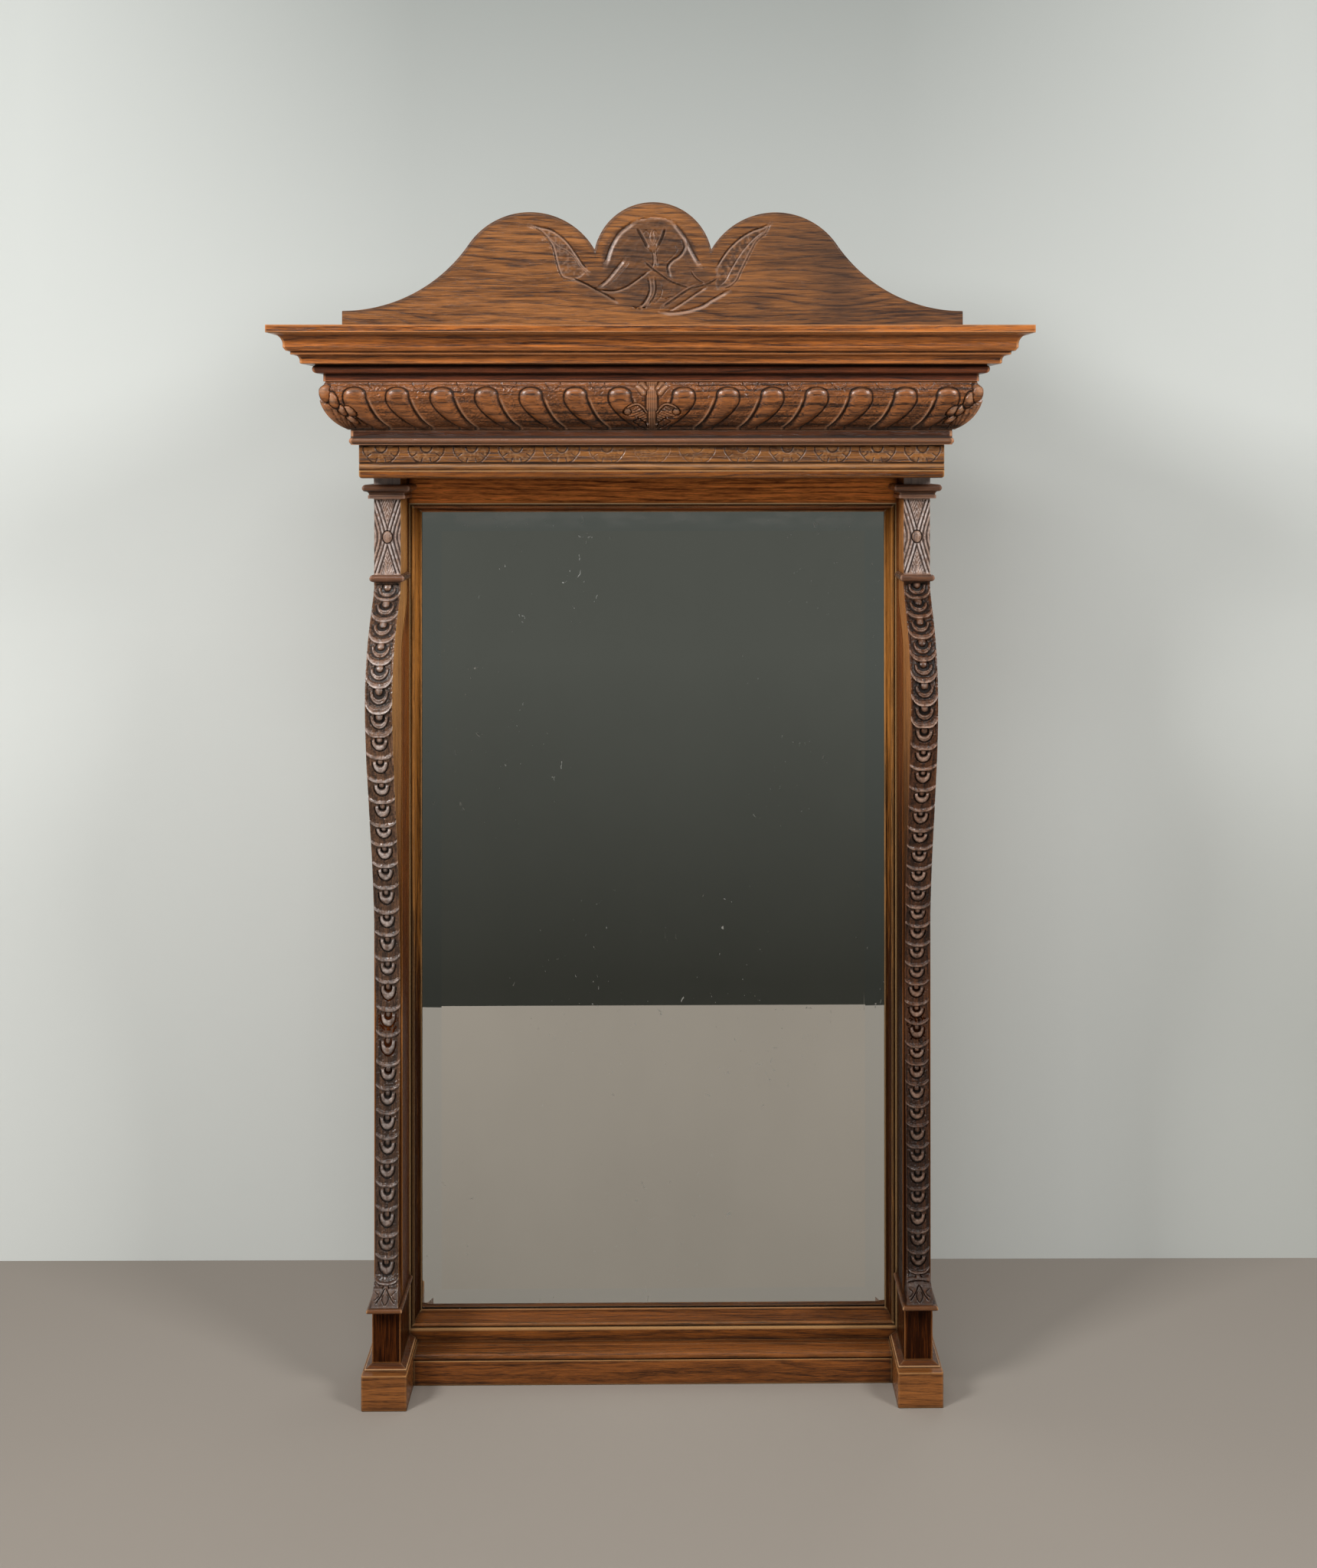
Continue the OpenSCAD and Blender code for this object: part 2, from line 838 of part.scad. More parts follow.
module gadroon_outline() {
    low_r = round_r_through(gadroon_p - gadroon_foot_p, gadroon_wide_h);
    top_r = round_r_through(gadroon_p - gadroon_top_p, gadroon_h - gadroon_wide_h);
    intersection() {
        square([gadroon_p, gadroon_wide_h]);
        translate([gadroon_p - low_r, gadroon_wide_h]) circle(low_r, $fn = 96);
    }
    intersection() {
        translate([0, gadroon_wide_h]) square([gadroon_p, gadroon_h - gadroon_wide_h]);
        union() {
            translate([gadroon_p - top_r, gadroon_wide_h]) circle(top_r);
            translate([0, gadroon_wide_h]) square([gadroon_p - top_r, gadroon_h]);
        }
    }
}

module gadroon_front() {
    color(oak_dark) front_run(gadroon_z, bed_z, gadroon_p) gadroon_outline();
}

module gadroon_side() {
    color(oak_dark) side_run(gadroon_z, bed_z, gadroon_p) gadroon_outline();
}

module gadroon_left() {
    on_left() gadroon_side();
}

module gadroon_right() {
    gadroon_side();
}

// Bed moulding: a fascia under a torus
module bed_outline() {
    torus_r = bed_h * 0.25;
    fascia_p = bed_p - 11.5;
    square([fascia_p, bed_h]);
    translate([bed_p - torus_r, bed_h - torus_r - 0.8]) circle(torus_r);
    translate([0, bed_h - 2 * torus_r - 0.8]) square([bed_p - torus_r, 2 * torus_r]);
    translate([0, bed_h - 2]) square([bed_p - 3, 2]);
}

module bed_moulding_front() {
    color(oak) front_run(bed_z, crown_z, bed_p) bed_outline();
}

module bed_side() {
    color(oak) side_run(bed_z, crown_z, bed_p) bed_outline();
}

module bed_moulding_left() {
    on_left() bed_side();
}

module bed_moulding_right() {
    bed_side();
}

// Crown moulding, sprung at the back: a small hollow, a fillet, a step and a
// large hollow under the cornice board
module crown_outline() {
    low_p = crown_p * 0.663;
    low_r = crown_h * 0.2;
    fillet_h0 = crown_h * 0.3;
    fillet_h1 = crown_h * 0.4;
    fillet_p = crown_p * 0.766;
    step_h = crown_h * 0.53;
    step_p = crown_p * 0.848;
    high_r = crown_h * 0.37;
    seat_p = bed_p * 0.59;
    back_p = crown_p * 0.65;
    difference() {
        polygon([[seat_p, 0], [low_p - 1, 0], [low_p, 1.2], [low_p, fillet_h0 - low_r],
            [low_p + low_r, fillet_h0 - low_r], [low_p + low_r, fillet_h0], [fillet_p, fillet_h0],
            [fillet_p, fillet_h1], [step_p - 3, fillet_h1 + 0.6], [step_p, step_h],
            [step_p, crown_h - high_r], [crown_p, crown_h - high_r], [crown_p, crown_h],
            [back_p, crown_h]]);
        translate([low_p + low_r, fillet_h0 - low_r]) circle(low_r);
        translate([step_p + high_r, crown_h - high_r - 0.5]) circle(high_r);
    }
}

module crown_front() {
    color(oak) front_run(crown_z, cornice_z, crown_p) crown_outline();
}

module crown_side() {
    color(oak) side_run(crown_z, cornice_z, crown_p) crown_outline();
}

module crown_left() {
    on_left() crown_side();
}

module crown_right() {
    crown_side();
}

module cornice_board() {
    color(oak) difference() {
        slab(-frieze_x - cornice_p, frieze_x + cornice_p, 0, cornice_d, cornice_z, pediment_z);
        pediment_screw_holes();
    }
}

// Blocks glued in the corners behind the frieze boards
module corner_blocks() {
    side = 30;
    rear_d = frieze_back_d * 0.2;
    color("burlywood") for (s = [0, 1]) mirror([s, 0, 0]) {
        slab(frieze_back_x - side, frieze_back_x, frieze_back_d - side, frieze_back_d,
            frieze_z + fit, cornice_z - fit);
        slab(frieze_back_x - side, frieze_back_x, rear_d, rear_d + side,
            frieze_z + fit, cornice_z - fit);
    }
}

// Pediment

lobe_z = pediment_z + pediment_h - lobe_r;
hump_z = pediment_z + pediment_h - hump_drop - hump_r;
end_z = pediment_z + pediment_end_h;

// The outer hollow is level at the board's end and touches the hump
sweep_dx = pediment_x - hump_x;
sweep_rise = hump_z - end_z;
sweep_r = (sweep_dx * sweep_dx + sweep_rise * sweep_rise - hump_r * hump_r)
    / (2 * (hump_r + sweep_rise));
touch = hump_r / (hump_r + sweep_r);
touch_z = hump_z + touch * (end_z + sweep_r - hump_z);

module pediment_outline() {
    translate([0, lobe_z]) circle(lobe_r, $fn = 96);
    for (s = [0, 1]) mirror([s, 0]) {
        translate([hump_x, hump_z]) circle(hump_r, $fn = 96);
        translate([0, pediment_z]) square([hump_x, hump_z - pediment_z]);
        difference() {
            translate([hump_x, pediment_z]) square([sweep_dx, touch_z - pediment_z]);
            translate([pediment_x, end_z + sweep_r]) circle(sweep_r, $fn = 180);
        }
    }
}

module pediment_board() {
    color(oak_dark) intersection() {
        along_d(pediment_back_d, pediment_back_d + pediment_t) pediment_outline();
        slab(-pediment_x, pediment_x, pediment_back_d, pediment_back_d + pediment_t,
            pediment_z, pediment_z + pediment_h);
    }
}

// Cleats that hold the pediment board up from behind
cleat_w = 60;
cleat_h = 34;
cleat_t = 24;
cleat_xs = [for (share = [-0.6, 0, 0.6]) share * pediment_x];

module pediment_cleats() {
    color("burlywood") difference() {
        for (x = cleat_xs)
            slab(x - cleat_w / 2, x + cleat_w / 2, pediment_back_d - cleat_t, pediment_back_d,
                pediment_z, pediment_z + cleat_h);
        pediment_screw_holes();
    }
}

// Screws up through the cornice board into the cleats
screw_head_dia = 2 * screw_dia;
pediment_screw_l = cornice_t + cleat_h * 0.65;

module screw_up(x, d, z0, l, grow) {
    translate([x, wall_y - d, z0]) {
        cylinder(d = screw_dia + 2 * grow, h = l + grow, $fn = 32);
        cylinder(d1 = screw_head_dia + 2 * grow, d2 = screw_dia + 2 * grow, h = screw_dia / 2, $fn = 32);
    }
}

module pediment_screw_holes() {
    for (x = cleat_xs)
        screw_up(x, pediment_back_d - cleat_t / 2, cornice_z, pediment_screw_l, fit);
}

module pediment_screws() {
    color("dimgray") for (x = cleat_xs)
        screw_up(x, pediment_back_d - cleat_t / 2, cornice_z, pediment_screw_l, 0);
}

// Fixings between posts, feet, soffit and frame

block_mid_d = (post_top_d + block_d) / 2;
block_dowel_ds = [for (t = [-0.25, 0.25]) block_mid_d + t * (block_d - post_top_d)];
foot_dowel_ds = [for (t = [0.3, 0.75]) frame_d + t * (pedestal_d - frame_d)];

// Dowels from the right upper block up into the soffit board
module block_dowels(grow) {
    top_z = soffit_z + soffit_t * 0.7;
    for (d = block_dowel_ds)
        rod_z(post_mid_x, d, top_z - dowel_l - grow, top_z + grow, dowel_dia + 2 * grow);
}

// Dowels from the right foot block up into the pedestal
module foot_dowels(grow) {
    mid = base_z + base_h / 2;
    for (d = foot_dowel_ds)
        rod_z(post_mid_x, d, mid - dowel_l / 2 - grow, mid + dowel_l / 2 + grow, dowel_dia + 2 * grow);
}

module dowels() {
    color("burlywood") for (s = [0, 1]) mirror([s, 0, 0]) {
        block_dowels(0);
        foot_dowels(0);
    }
}

// Screws through the back of the right stile into the post in front of it
post_screw_l = post_top_d - 4;
post_screw_zs = [for (t = [0.16, 0.42, 0.68, 0.9]) t * soffit_z];

module screw_back(z, grow) {
    translate([post_out_x - post_w / 4, wall_y, z]) rotate([90, 0, 0]) {
        cylinder(d = screw_dia + 2 * grow, h = post_screw_l + grow, $fn = 32);
        cylinder(d1 = screw_head_dia + 2 * grow, d2 = screw_dia + 2 * grow, h = screw_dia / 2, $fn = 32);
    }
}

module screw_holes() {
    for (z = post_screw_zs) screw_back(z, fit);
}

module post_screws() {
    color("dimgray") for (s = [0, 1]) mirror([s, 0, 0])
        for (z = post_screw_zs) screw_back(z, 0);
}

glass_plate();
glazing_slips();
backing_board(0);  // backing_board_lower
backing_board(1);  // backing_board_middle
backing_board(2);  // backing_board_upper
backing_pins();
left_stile();
right_stile();
top_rail();
bottom_rail();
sight_moulding_left();
sight_moulding_right();
sight_moulding_top();
sight_moulding_bottom();
left_post();
right_post();
left_shaft();
right_shaft();
left_panel_block();
right_panel_block();
left_capital();
right_capital();
left_ring();
right_ring();
left_plinth_cap();
right_plinth_cap();
left_pedestal();
right_pedestal();
left_base_moulding();
right_base_moulding();
left_foot_block();
right_foot_block();
plinth_board();
plinth_ledge();
plinth_blocks();
soffit_board();
frieze_front();
frieze_left_return();
frieze_right_return();
astragal_front();
astragal_left();
astragal_right();
gadroon_front();
gadroon_left();
gadroon_right();
bed_moulding_front();
bed_moulding_left();
bed_moulding_right();
crown_front();
crown_left();
crown_right();
cornice_board();
pediment_board();
pediment_cleats();
pediment_screws();
corner_blocks();
dowels();
post_screws();
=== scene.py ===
import math

import bpy
import numpy as np
from mathutils import Matrix, Vector


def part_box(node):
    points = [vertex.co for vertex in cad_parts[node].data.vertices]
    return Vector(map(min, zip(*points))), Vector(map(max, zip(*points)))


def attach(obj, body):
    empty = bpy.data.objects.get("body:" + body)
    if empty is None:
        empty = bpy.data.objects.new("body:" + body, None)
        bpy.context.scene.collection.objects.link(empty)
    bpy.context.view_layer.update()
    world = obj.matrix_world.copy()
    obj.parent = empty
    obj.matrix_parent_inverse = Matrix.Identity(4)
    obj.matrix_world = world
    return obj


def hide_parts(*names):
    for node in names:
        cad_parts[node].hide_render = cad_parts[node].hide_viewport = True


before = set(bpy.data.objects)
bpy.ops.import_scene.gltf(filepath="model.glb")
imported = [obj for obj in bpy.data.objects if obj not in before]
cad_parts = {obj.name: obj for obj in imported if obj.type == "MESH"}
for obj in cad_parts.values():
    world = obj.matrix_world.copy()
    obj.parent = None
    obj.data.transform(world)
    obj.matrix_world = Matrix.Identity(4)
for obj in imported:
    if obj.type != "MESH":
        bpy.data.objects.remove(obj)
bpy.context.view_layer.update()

MM = 0.001
WALL_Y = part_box("left_stile")[1].y      # back plane of the mirror


# ---------------------------------------------------------------- helpers

def paint(red, green, blue):
    """A colour as it is written on a screen, made linear for the shader."""
    linear = [c / 255 / 12.92 if c <= 10 else ((c / 255 + 0.055) / 1.055) ** 2.4
              for c in (red, green, blue)]
    return (*linear, 1.0)


def deselect():
    if bpy.context.object and bpy.context.object.mode != "OBJECT":
        bpy.ops.object.mode_set(mode="OBJECT")
    bpy.ops.object.select_all(action="DESELECT")


def pick(piece):
    deselect()
    piece.select_set(True)
    bpy.context.view_layer.objects.active = piece


def smooth(x, low, high):
    """0 below low, 1 above high, and an easy curve between."""
    t = np.clip((x - low) / (high - low), 0, 1)
    return t * t * (3 - 2 * t)


# ---------------------------------------------------------------- node groups

class Nodes:
    """Short words for placing and joining the nodes of one tree."""

    def __init__(self, tree):
        self.tree = tree

    def add(self, kind, settings=None, **sockets):
        node = self.tree.nodes.new("ShaderNode" + kind)
        for key, value in (settings or {}).items():
            setattr(node, key, value)
        self.feed(node, **sockets)
        return node

    def feed(self, node, **sockets):
        """Links or sets sockets by name (a _ is a space) or by number (i0, i1 and so on)."""
        for key, value in sockets.items():
            by_number = key[0] == "i" and key[1:].isdigit()
            socket = node.inputs[int(key[1:]) if by_number else key.replace("_", " ")]
            if isinstance(value, bpy.types.NodeSocket):
                self.tree.links.new(value, socket)
            else:
                socket.default_value = value

    def math(self, operation, first, second=None, clamp=False):
        node = self.add("Math", {"operation": operation, "use_clamp": clamp}, i0=first)
        if second is not None:
            self.feed(node, i1=second)
        return node.outputs[0]

    def plus(self, first, second, clamp=False):
        return self.math("ADD", first, second, clamp)

    def minus(self, first, second):
        return self.math("SUBTRACT", first, second)

    def times(self, first, second, clamp=False):
        return self.math("MULTIPLY", first, second, clamp)

    def most(self, first, second):
        return self.math("MAXIMUM", first, second)

    def mix(self, factor, first, second):
        return self.add("Mix", {"data_type": "RGBA"}, i0=factor, i6=first, i7=second).outputs[2]

    def span(self, value, low, high, to_low=0.0, to_high=1.0):
        """Carries low..high over to to_low..to_high and stops at both ends."""
        return self.add("MapRange", {"clamp": True}, Value=value, From_Min=low, From_Max=high,
                        To_Min=to_low, To_Max=to_high).outputs[0]

    def noise(self, vector, scale, detail=3.0, rough=0.55, distortion=0.0):
        """Noise with its own scale along each axis."""
        scaled = self.add("Mapping", Vector=vector, Scale=scale).outputs[0]
        return self.add("TexNoise", Vector=scaled, Scale=1.0, Detail=detail, Roughness=rough,
                        Distortion=distortion).outputs["Fac"]

    def xyz(self, vector):
        return self.add("SeparateXYZ", Vector=vector).outputs

    def place(self):
        return self.add("TexCoord").outputs["Object"]


def new_group(name, inputs, outputs):
    """A node group with its maker, inputs and end. An input is given as the letter of its kind,
    or as a number, which makes a float that starts there."""
    kinds = {"f": "NodeSocketFloat", "c": "NodeSocketColor", "v": "NodeSocketVector"}
    group = bpy.data.node_groups.new(name, "ShaderNodeTree")
    for label, start in inputs.items():
        kind = kinds[start] if start in kinds else kinds["f"]
        socket = group.interface.new_socket(label, in_out="INPUT", socket_type=kind)
        if start not in kinds:
            socket.default_value = start
    for label, kind in outputs.items():
        group.interface.new_socket(label, in_out="OUTPUT", socket_type=kinds[kind])
    source, sink = group.nodes.new("NodeGroupInput"), group.nodes.new("NodeGroupOutput")
    return group, Nodes(group), source.outputs, sink


def make_grain_group():
    """Oak grain running along the vector's X: year rings, open pores and ray flecks."""
    group, n, source, sink = new_group(
        "oak_grain", {"Vector": "v", "Ring Pitch": 9.0, "Waviness": 1.0},
        {"Rings": "f", "Pores": "f", "Cloud": "f", "Streaks": "f", "Height": "f"})

    def stretched(along, across, *settings):
        return n.noise(source["Vector"], (along, across, across), *settings)

    long_wave = stretched(1.6, 9.0, 3.0, 0.5)
    fine_wave = stretched(6.0, 60.0, 2.0, 0.5)
    # distance from the heart of the tree, which lies well behind the board
    _, deep, across = n.xyz(source["Vector"])
    across = n.math("POWER", across, 2.0)
    deep = n.math("POWER", n.plus(deep, 0.31), 2.0)
    radius = n.math("SQRT", n.plus(across, deep))
    bend = n.times(n.minus(long_wave, 0.5), n.times(source["Waviness"], 0.055))
    radius = n.plus(n.plus(radius, bend), n.times(n.minus(fine_wave, 0.5), 0.004))
    # each ring fades out from its late wood and rises sharply at its end
    saw = n.math("FRACT", n.times(radius, n.math("DIVIDE", 1000.0, source["Ring Pitch"])))
    rings = n.most(n.minus(1.0, n.span(saw, 0.0, 0.42)), n.span(saw, 0.88, 1.0))
    pore_limit = n.span(rings, 0.0, 1.0, 0.64, 0.47)
    pores = n.span(n.minus(stretched(70.0, 1700.0, 1.5, 0.5), pore_limit), 0.0, 0.07)
    threads = n.times(n.minus(stretched(36.0, 1000.0, 2.0, 0.6), 0.5), 0.6)
    streaks = n.plus(stretched(16.0, 330.0, 4.0, 0.72, 0.4), threads)
    strength = n.span(stretched(3.5, 40.0, 2.0, 0.5), 0.35, 0.62, 0.25, 1.0)
    n.feed(sink, Rings=n.times(rings, strength), Pores=pores, Streaks=streaks,
           Cloud=stretched(2.2, 17.0, 4.0, 0.6),
           Height=n.plus(n.times(pores, -1.0), n.times(streaks, -0.6)))
    return group


def make_finish_group():
    """Stained and waxed oak: grain colours, dark wax with painted shade in the hollows, rubbed pale
    edges with painted highlights, and a shade input that darkens the tone as painted shade.
    """
    group, n, source, sink = new_group(
        "waxed_finish",
        {"Pale": "c", "Dark": "c", "Wax": "c", "Rubbed": "c", "Rings": 0.0, "Pores": 0.0,
         "Cloud": 0.5, "Streaks": 0.5, "Recess": 0.0, "Wear": 0.0, "Shade": 0.0, "Contrast": 1.0},
        {"Color": "c", "Roughness": "f"})
    patch = n.span(source["Cloud"], 0.3, 0.7, -0.15, 0.45)
    streak = n.span(source["Streaks"], 0.34, 0.66, -0.15, 0.65)
    grain = n.plus(n.plus(patch, streak), n.times(source["Rings"], 0.42))
    tone = n.plus(n.times(grain, source["Contrast"]), source["Shade"], clamp=True)
    colour = n.mix(tone, source["Pale"], source["Dark"])
    # the pale rubbed colour also paints highlights; the wax colour in the hollows also paints shade
    for mark, amount, over in (("Pores", 0.5, "Wax"), ("Wear", 0.55, "Rubbed"),
                               ("Recess", 0.92, "Wax")):
        colour = n.mix(n.times(source[mark], amount, clamp=True), colour, source[over])
    rough = n.plus(n.span(source["Streaks"], 0.3, 0.7, 0.22, 0.34), n.times(source["Pores"], 0.15))
    n.feed(sink, Color=colour, Roughness=n.plus(rough, n.times(source["Recess"], 0.3)))
    return group


def make_edge_group():
    """Rubbed outer edges, pale as wear and as painted edge highlight, and dirt with painted shade
    in the inner corners of a plain piece, from its own shape.
    """
    group, n, source, sink = new_group(
        "edges_and_corners", {"Edge Width": 0.0022, "Corner Reach": 0.014},
        {"Wear": "f", "Dirt": "f", "Normal": "v"})
    width = source["Edge Width"]
    inner = n.add("AmbientOcclusion", {"samples": 4, "inside": True, "only_local": True},
                  Distance=width).outputs["AO"]
    outer = n.add("AmbientOcclusion", {"samples": 4}, Distance=source["Corner Reach"]).outputs["AO"]
    round_edge = n.add("Bevel", {"samples": 3}, Radius=n.times(width, 0.5))
    # pale outer edges are wear and painted highlight; dark inner corners are dirt and painted shade
    n.feed(sink, Wear=n.span(inner, 0.92, 0.5, 0.0, 1.5), Dirt=n.span(outer, 0.92, 0.36),
           Normal=round_edge.outputs[0])
    return group


GRAIN = make_grain_group()
EDGES = make_edge_group()
FINISH = make_finish_group()
QUARTER = math.radians(90)
TURN = {"x": (0.0, 0.0, 0.0), "y": (0.0, 0.0, -QUARTER), "z": (0.0, QUARTER, 0.0)}


def start_material(name):
    material = bpy.data.materials.new(name)
    material.use_nodes = True
    material.node_tree.nodes.clear()
    n = Nodes(material.node_tree)
    shader = n.add("BsdfPrincipled")
    n.add("OutputMaterial", i0=shader.outputs[0])
    return material, n, shader


def at_heights(n, place, heights, core, fade, amount, mark):
    """Adds level lines to a mark: dirt with painted shade along a quirk, or a rub with painted
    highlight along a moulding's crest.
    """
    for height in heights:
        away = n.math("ABSOLUTE", n.minus(n.xyz(place)[2], height))
        mark = n.most(mark, n.span(away, core, fade, amount, 0.0))
    return mark


def make_oak(name, along, pale, dark, wax=(30, 16, 8), rubbed=(176, 122, 76), contrast=1.0,
             shift=(0.0, 0.0, 0.0), pitch=9.0, waviness=1.0, fine=1.0, coat=0.12, gloss=0.38,
             bump=0.35, painted_shade=(), plain=True, edge=0.0022, corner=0.009, shaded_quirks=(), highlit_crests=()):
    """Waxed oak with its grain along one axis. A plain piece finds its own edges and corners, a
    carved one brings marks. Rows of (height, height, amount) paint shade, darker toward the
    second height; quirk and crest heights give lines of dirt with painted shade and of rubs with
    painted highlight."""
    material, n, shader = start_material(name)
    place = n.place()
    turned = n.add("Mapping", Vector=place, Rotation=TURN[along], Location=shift,
                   Scale=(fine, fine, fine)).outputs[0]
    grain = n.add("Group", {"node_tree": GRAIN}, Vector=turned, Ring_Pitch=pitch,
                  Waviness=waviness).outputs
    finish = n.add("Group", {"node_tree": FINISH}, Pale=paint(*pale), Dark=paint(*dark),
                   Wax=paint(*wax), Rubbed=paint(*rubbed), Contrast=contrast,
                   **{key: grain[key] for key in ("Rings", "Pores", "Cloud", "Streaks")})
    # painted shade: the tone darkens by height
    shades = [n.span(n.xyz(place)[2], start, end, 0.0, amount) for start, end, amount in painted_shade]
    if shades:
        n.feed(finish, Shade=n.plus(*shades) if len(shades) == 2 else shades[0])
    ridge = n.add("Bump", Strength=bump, Distance=0.0004, Height=grain["Height"])
    if plain:
        found = n.add("Group", {"node_tree": EDGES}, Edge_Width=edge, Corner_Reach=corner).outputs
        # painted highlight lines on the crests and painted shade lines in the quirks, over the
        # found wear and dirt
        wear = at_heights(n, place, highlit_crests, 0.0012, 0.0042, 0.4, found["Wear"])
        recess = at_heights(n, place, shaded_quirks, 0.0007, 0.0018, 0.95, found["Dirt"])
        n.feed(ridge, Normal=found["Normal"])
    else:
        # a carved piece brings its wear with painted highlights and its wax with painted shade
        wear, recess = (n.add("Attribute", {"attribute_name": mark}).outputs["Fac"]
                        for mark in ("wear", "recess"))
    n.feed(finish, Wear=wear, Recess=recess)
    n.feed(shader, Base_Color=finish.outputs["Color"], Roughness=finish.outputs["Roughness"],
           Coat_Weight=coat, Coat_Roughness=0.16, Specular_IOR_Level=gloss, Normal=ridge.outputs[0])
    return material


def make_pine(name, pale, dark, shift):
    return make_oak(name, "x", pale, dark, wax=(110, 78, 48), rubbed=(205, 170, 125), shift=shift,
                    contrast=0.8, pitch=14.0, waviness=1.6, coat=0.0, bump=0.25)


def make_mirror_glass():
    """Old silvered glass: clear, a little dim, with faint foxing and a bloom at its top."""
    material, n, shader = start_material("old_silvered_glass")
    place = n.place()
    haze = n.noise(place, (3.0, 3.0, 2.0), 4.0, 0.6)
    specks = n.noise(place, (300.0, 300.0, 300.0), 2.0, 0.5)
    flecks = n.times(n.span(specks, 0.74, 0.77), n.span(haze, 0.5, 0.62))
    marks = n.noise(place, (70.0, 70.0, 36.0), 3.0, 0.7, 2.5)
    foxing = n.most(flecks, n.times(n.span(marks, 0.70, 0.71), n.span(haze, 0.44, 0.5, 0.0, 0.8)))
    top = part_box("glass_plate")[1].z
    cloudy = n.span(n.noise(place, (22.0, 22.0, 60.0), 3.0, 0.6), 0.38, 0.62)
    bloom = n.times(n.span(n.xyz(place)[2], top - 30 * MM, top - 10 * MM), cloudy)
    facing = n.add("NewGeometry").outputs["Normal"]
    flat = n.span(n.math("ABSOLUTE", n.xyz(facing)[1]), 0.9975, 0.9995)
    silver = n.mix(n.span(haze, 0.3, 0.7), paint(226, 227, 223), paint(216, 217, 213))
    silver = n.mix(n.minus(1.0, flat), silver, paint(218, 222, 221))
    # the silver lies flat behind the glass, so the bevel throws its picture inward
    eased = n.add("VectorMath", {"operation": "MULTIPLY"}, i0=facing, i1=(-0.6, 1.0, -0.25))
    level = n.add("VectorMath", {"operation": "NORMALIZE"}, i0=eased.outputs[0])
    n.feed(shader, Base_Color=n.mix(foxing, silver, paint(206, 208, 204)),
           Roughness=n.plus(0.004, n.times(foxing, 0.6)),
           Metallic=n.minus(1.0, n.times(bloom, 0.22)), Normal=level.outputs[0])
    return material


def make_dark_steel():
    material, n, shader = start_material("browned_steel")
    rust = n.noise(n.place(), (320.0, 320.0, 320.0), 4.0, 0.6)
    n.feed(shader, Roughness=n.span(rust, 0.3, 0.7, 0.42, 0.75),
           Metallic=n.span(rust, 0.4, 0.65, 0.9, 0.3),
           Base_Color=n.mix(n.span(rust, 0.4, 0.65), paint(92, 86, 80), paint(88, 56, 38)))
    return material


# ---------------------------------------------------------------- finishes of the pieces

LEFT, RIGHT = -1, 1     # the sides as the photograph shows them


def dress(material, *names):
    """Makes a material the only one of the pieces; * in a name stands for left and right."""
    for name in names:
        for side in ("left", "right") if "*" in name else ("",):
            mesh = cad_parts[name.replace("*", side)].data
            mesh.materials.clear()
            mesh.materials.append(material)
    return material


# painted light and shade: the inner flanks and posts are a lit copy on the left and a shaded copy
# on the right, both darker by height as painted shade
LIT_AND_SHADED_FLANKS = {
    LEFT: make_oak("oak_flanks_painted_lit", "z", (250, 180, 104), (84, 40, 14), rubbed=(250, 204, 134),
                   wax=(84, 46, 20), contrast=0.6, coat=0.0, gloss=0.05,
                   painted_shade=((0.98, 0.42, 1.0),)),
    RIGHT: make_oak("oak_right_flanks_painted_shade", "z", (212, 142, 80), (36, 13, 5), rubbed=(150, 92, 50),
                    contrast=0.6, coat=0.0, gloss=0.02, painted_shade=((0.95, 0.55, 1.0),))}
dress(make_oak("oak_posts", "z", (192, 110, 42), (74, 32, 9), rubbed=(222, 150, 80), contrast=0.75,
               coat=0.0, gloss=0.04, painted_shade=((0.98, 0.42, 0.8), (0.94, 1.03, 0.85))), "left_post")
dress(make_oak("oak_right_post_painted_shade", "z", (152, 82, 34), (32, 11, 4), rubbed=(186, 116, 62),
               contrast=0.7, coat=0.0, gloss=0.02, painted_shade=((0.95, 0.55, 0.95),)), "right_post")
# painted shade: darker toward the foot
dress(make_oak("oak_stiles", "z", (108, 56, 22), (38, 16, 6), rubbed=(176, 116, 66), contrast=0.8,
               coat=0.0, gloss=0.03, painted_shade=((0.95, 0.42, 0.5),)), "*_stile", "*_pedestal")
dress(make_oak("oak_low_mouldings", "x", (104, 60, 32), (44, 23, 12), rubbed=(206, 158, 112),
               shift=(0.1, 0.0, 0.9), contrast=0.8, gloss=0.2), "*_plinth_cap", "*_base_moulding")
# painted shade: darker toward the foot
dress(make_oak("oak_sight_mouldings", "z", (204, 134, 62), (52, 25, 10), rubbed=(236, 190, 132),
               contrast=0.7, coat=0.0, gloss=0.03, painted_shade=((0.95, 0.40, 0.9),)), "sight_moulding_*")
dress(make_oak("oak_rails", "x", (138, 80, 36), (44, 22, 9), rubbed=(214, 164, 108), coat=0.04,
               shift=(0.7, 0.0, 0.2), contrast=0.9, gloss=0.22, fine=1.5),
      "bottom_rail", "plinth_board", "plinth_ledge", "soffit_board", "sight_moulding_bottom")
dress(make_oak("oak_feet", "x", (150, 93, 47), (64, 34, 15), rubbed=(200, 146, 92), coat=0.04,
               shift=(0.2, 0.0, 0.4), contrast=0.8, gloss=0.22, fine=1.2), "*_foot_block")
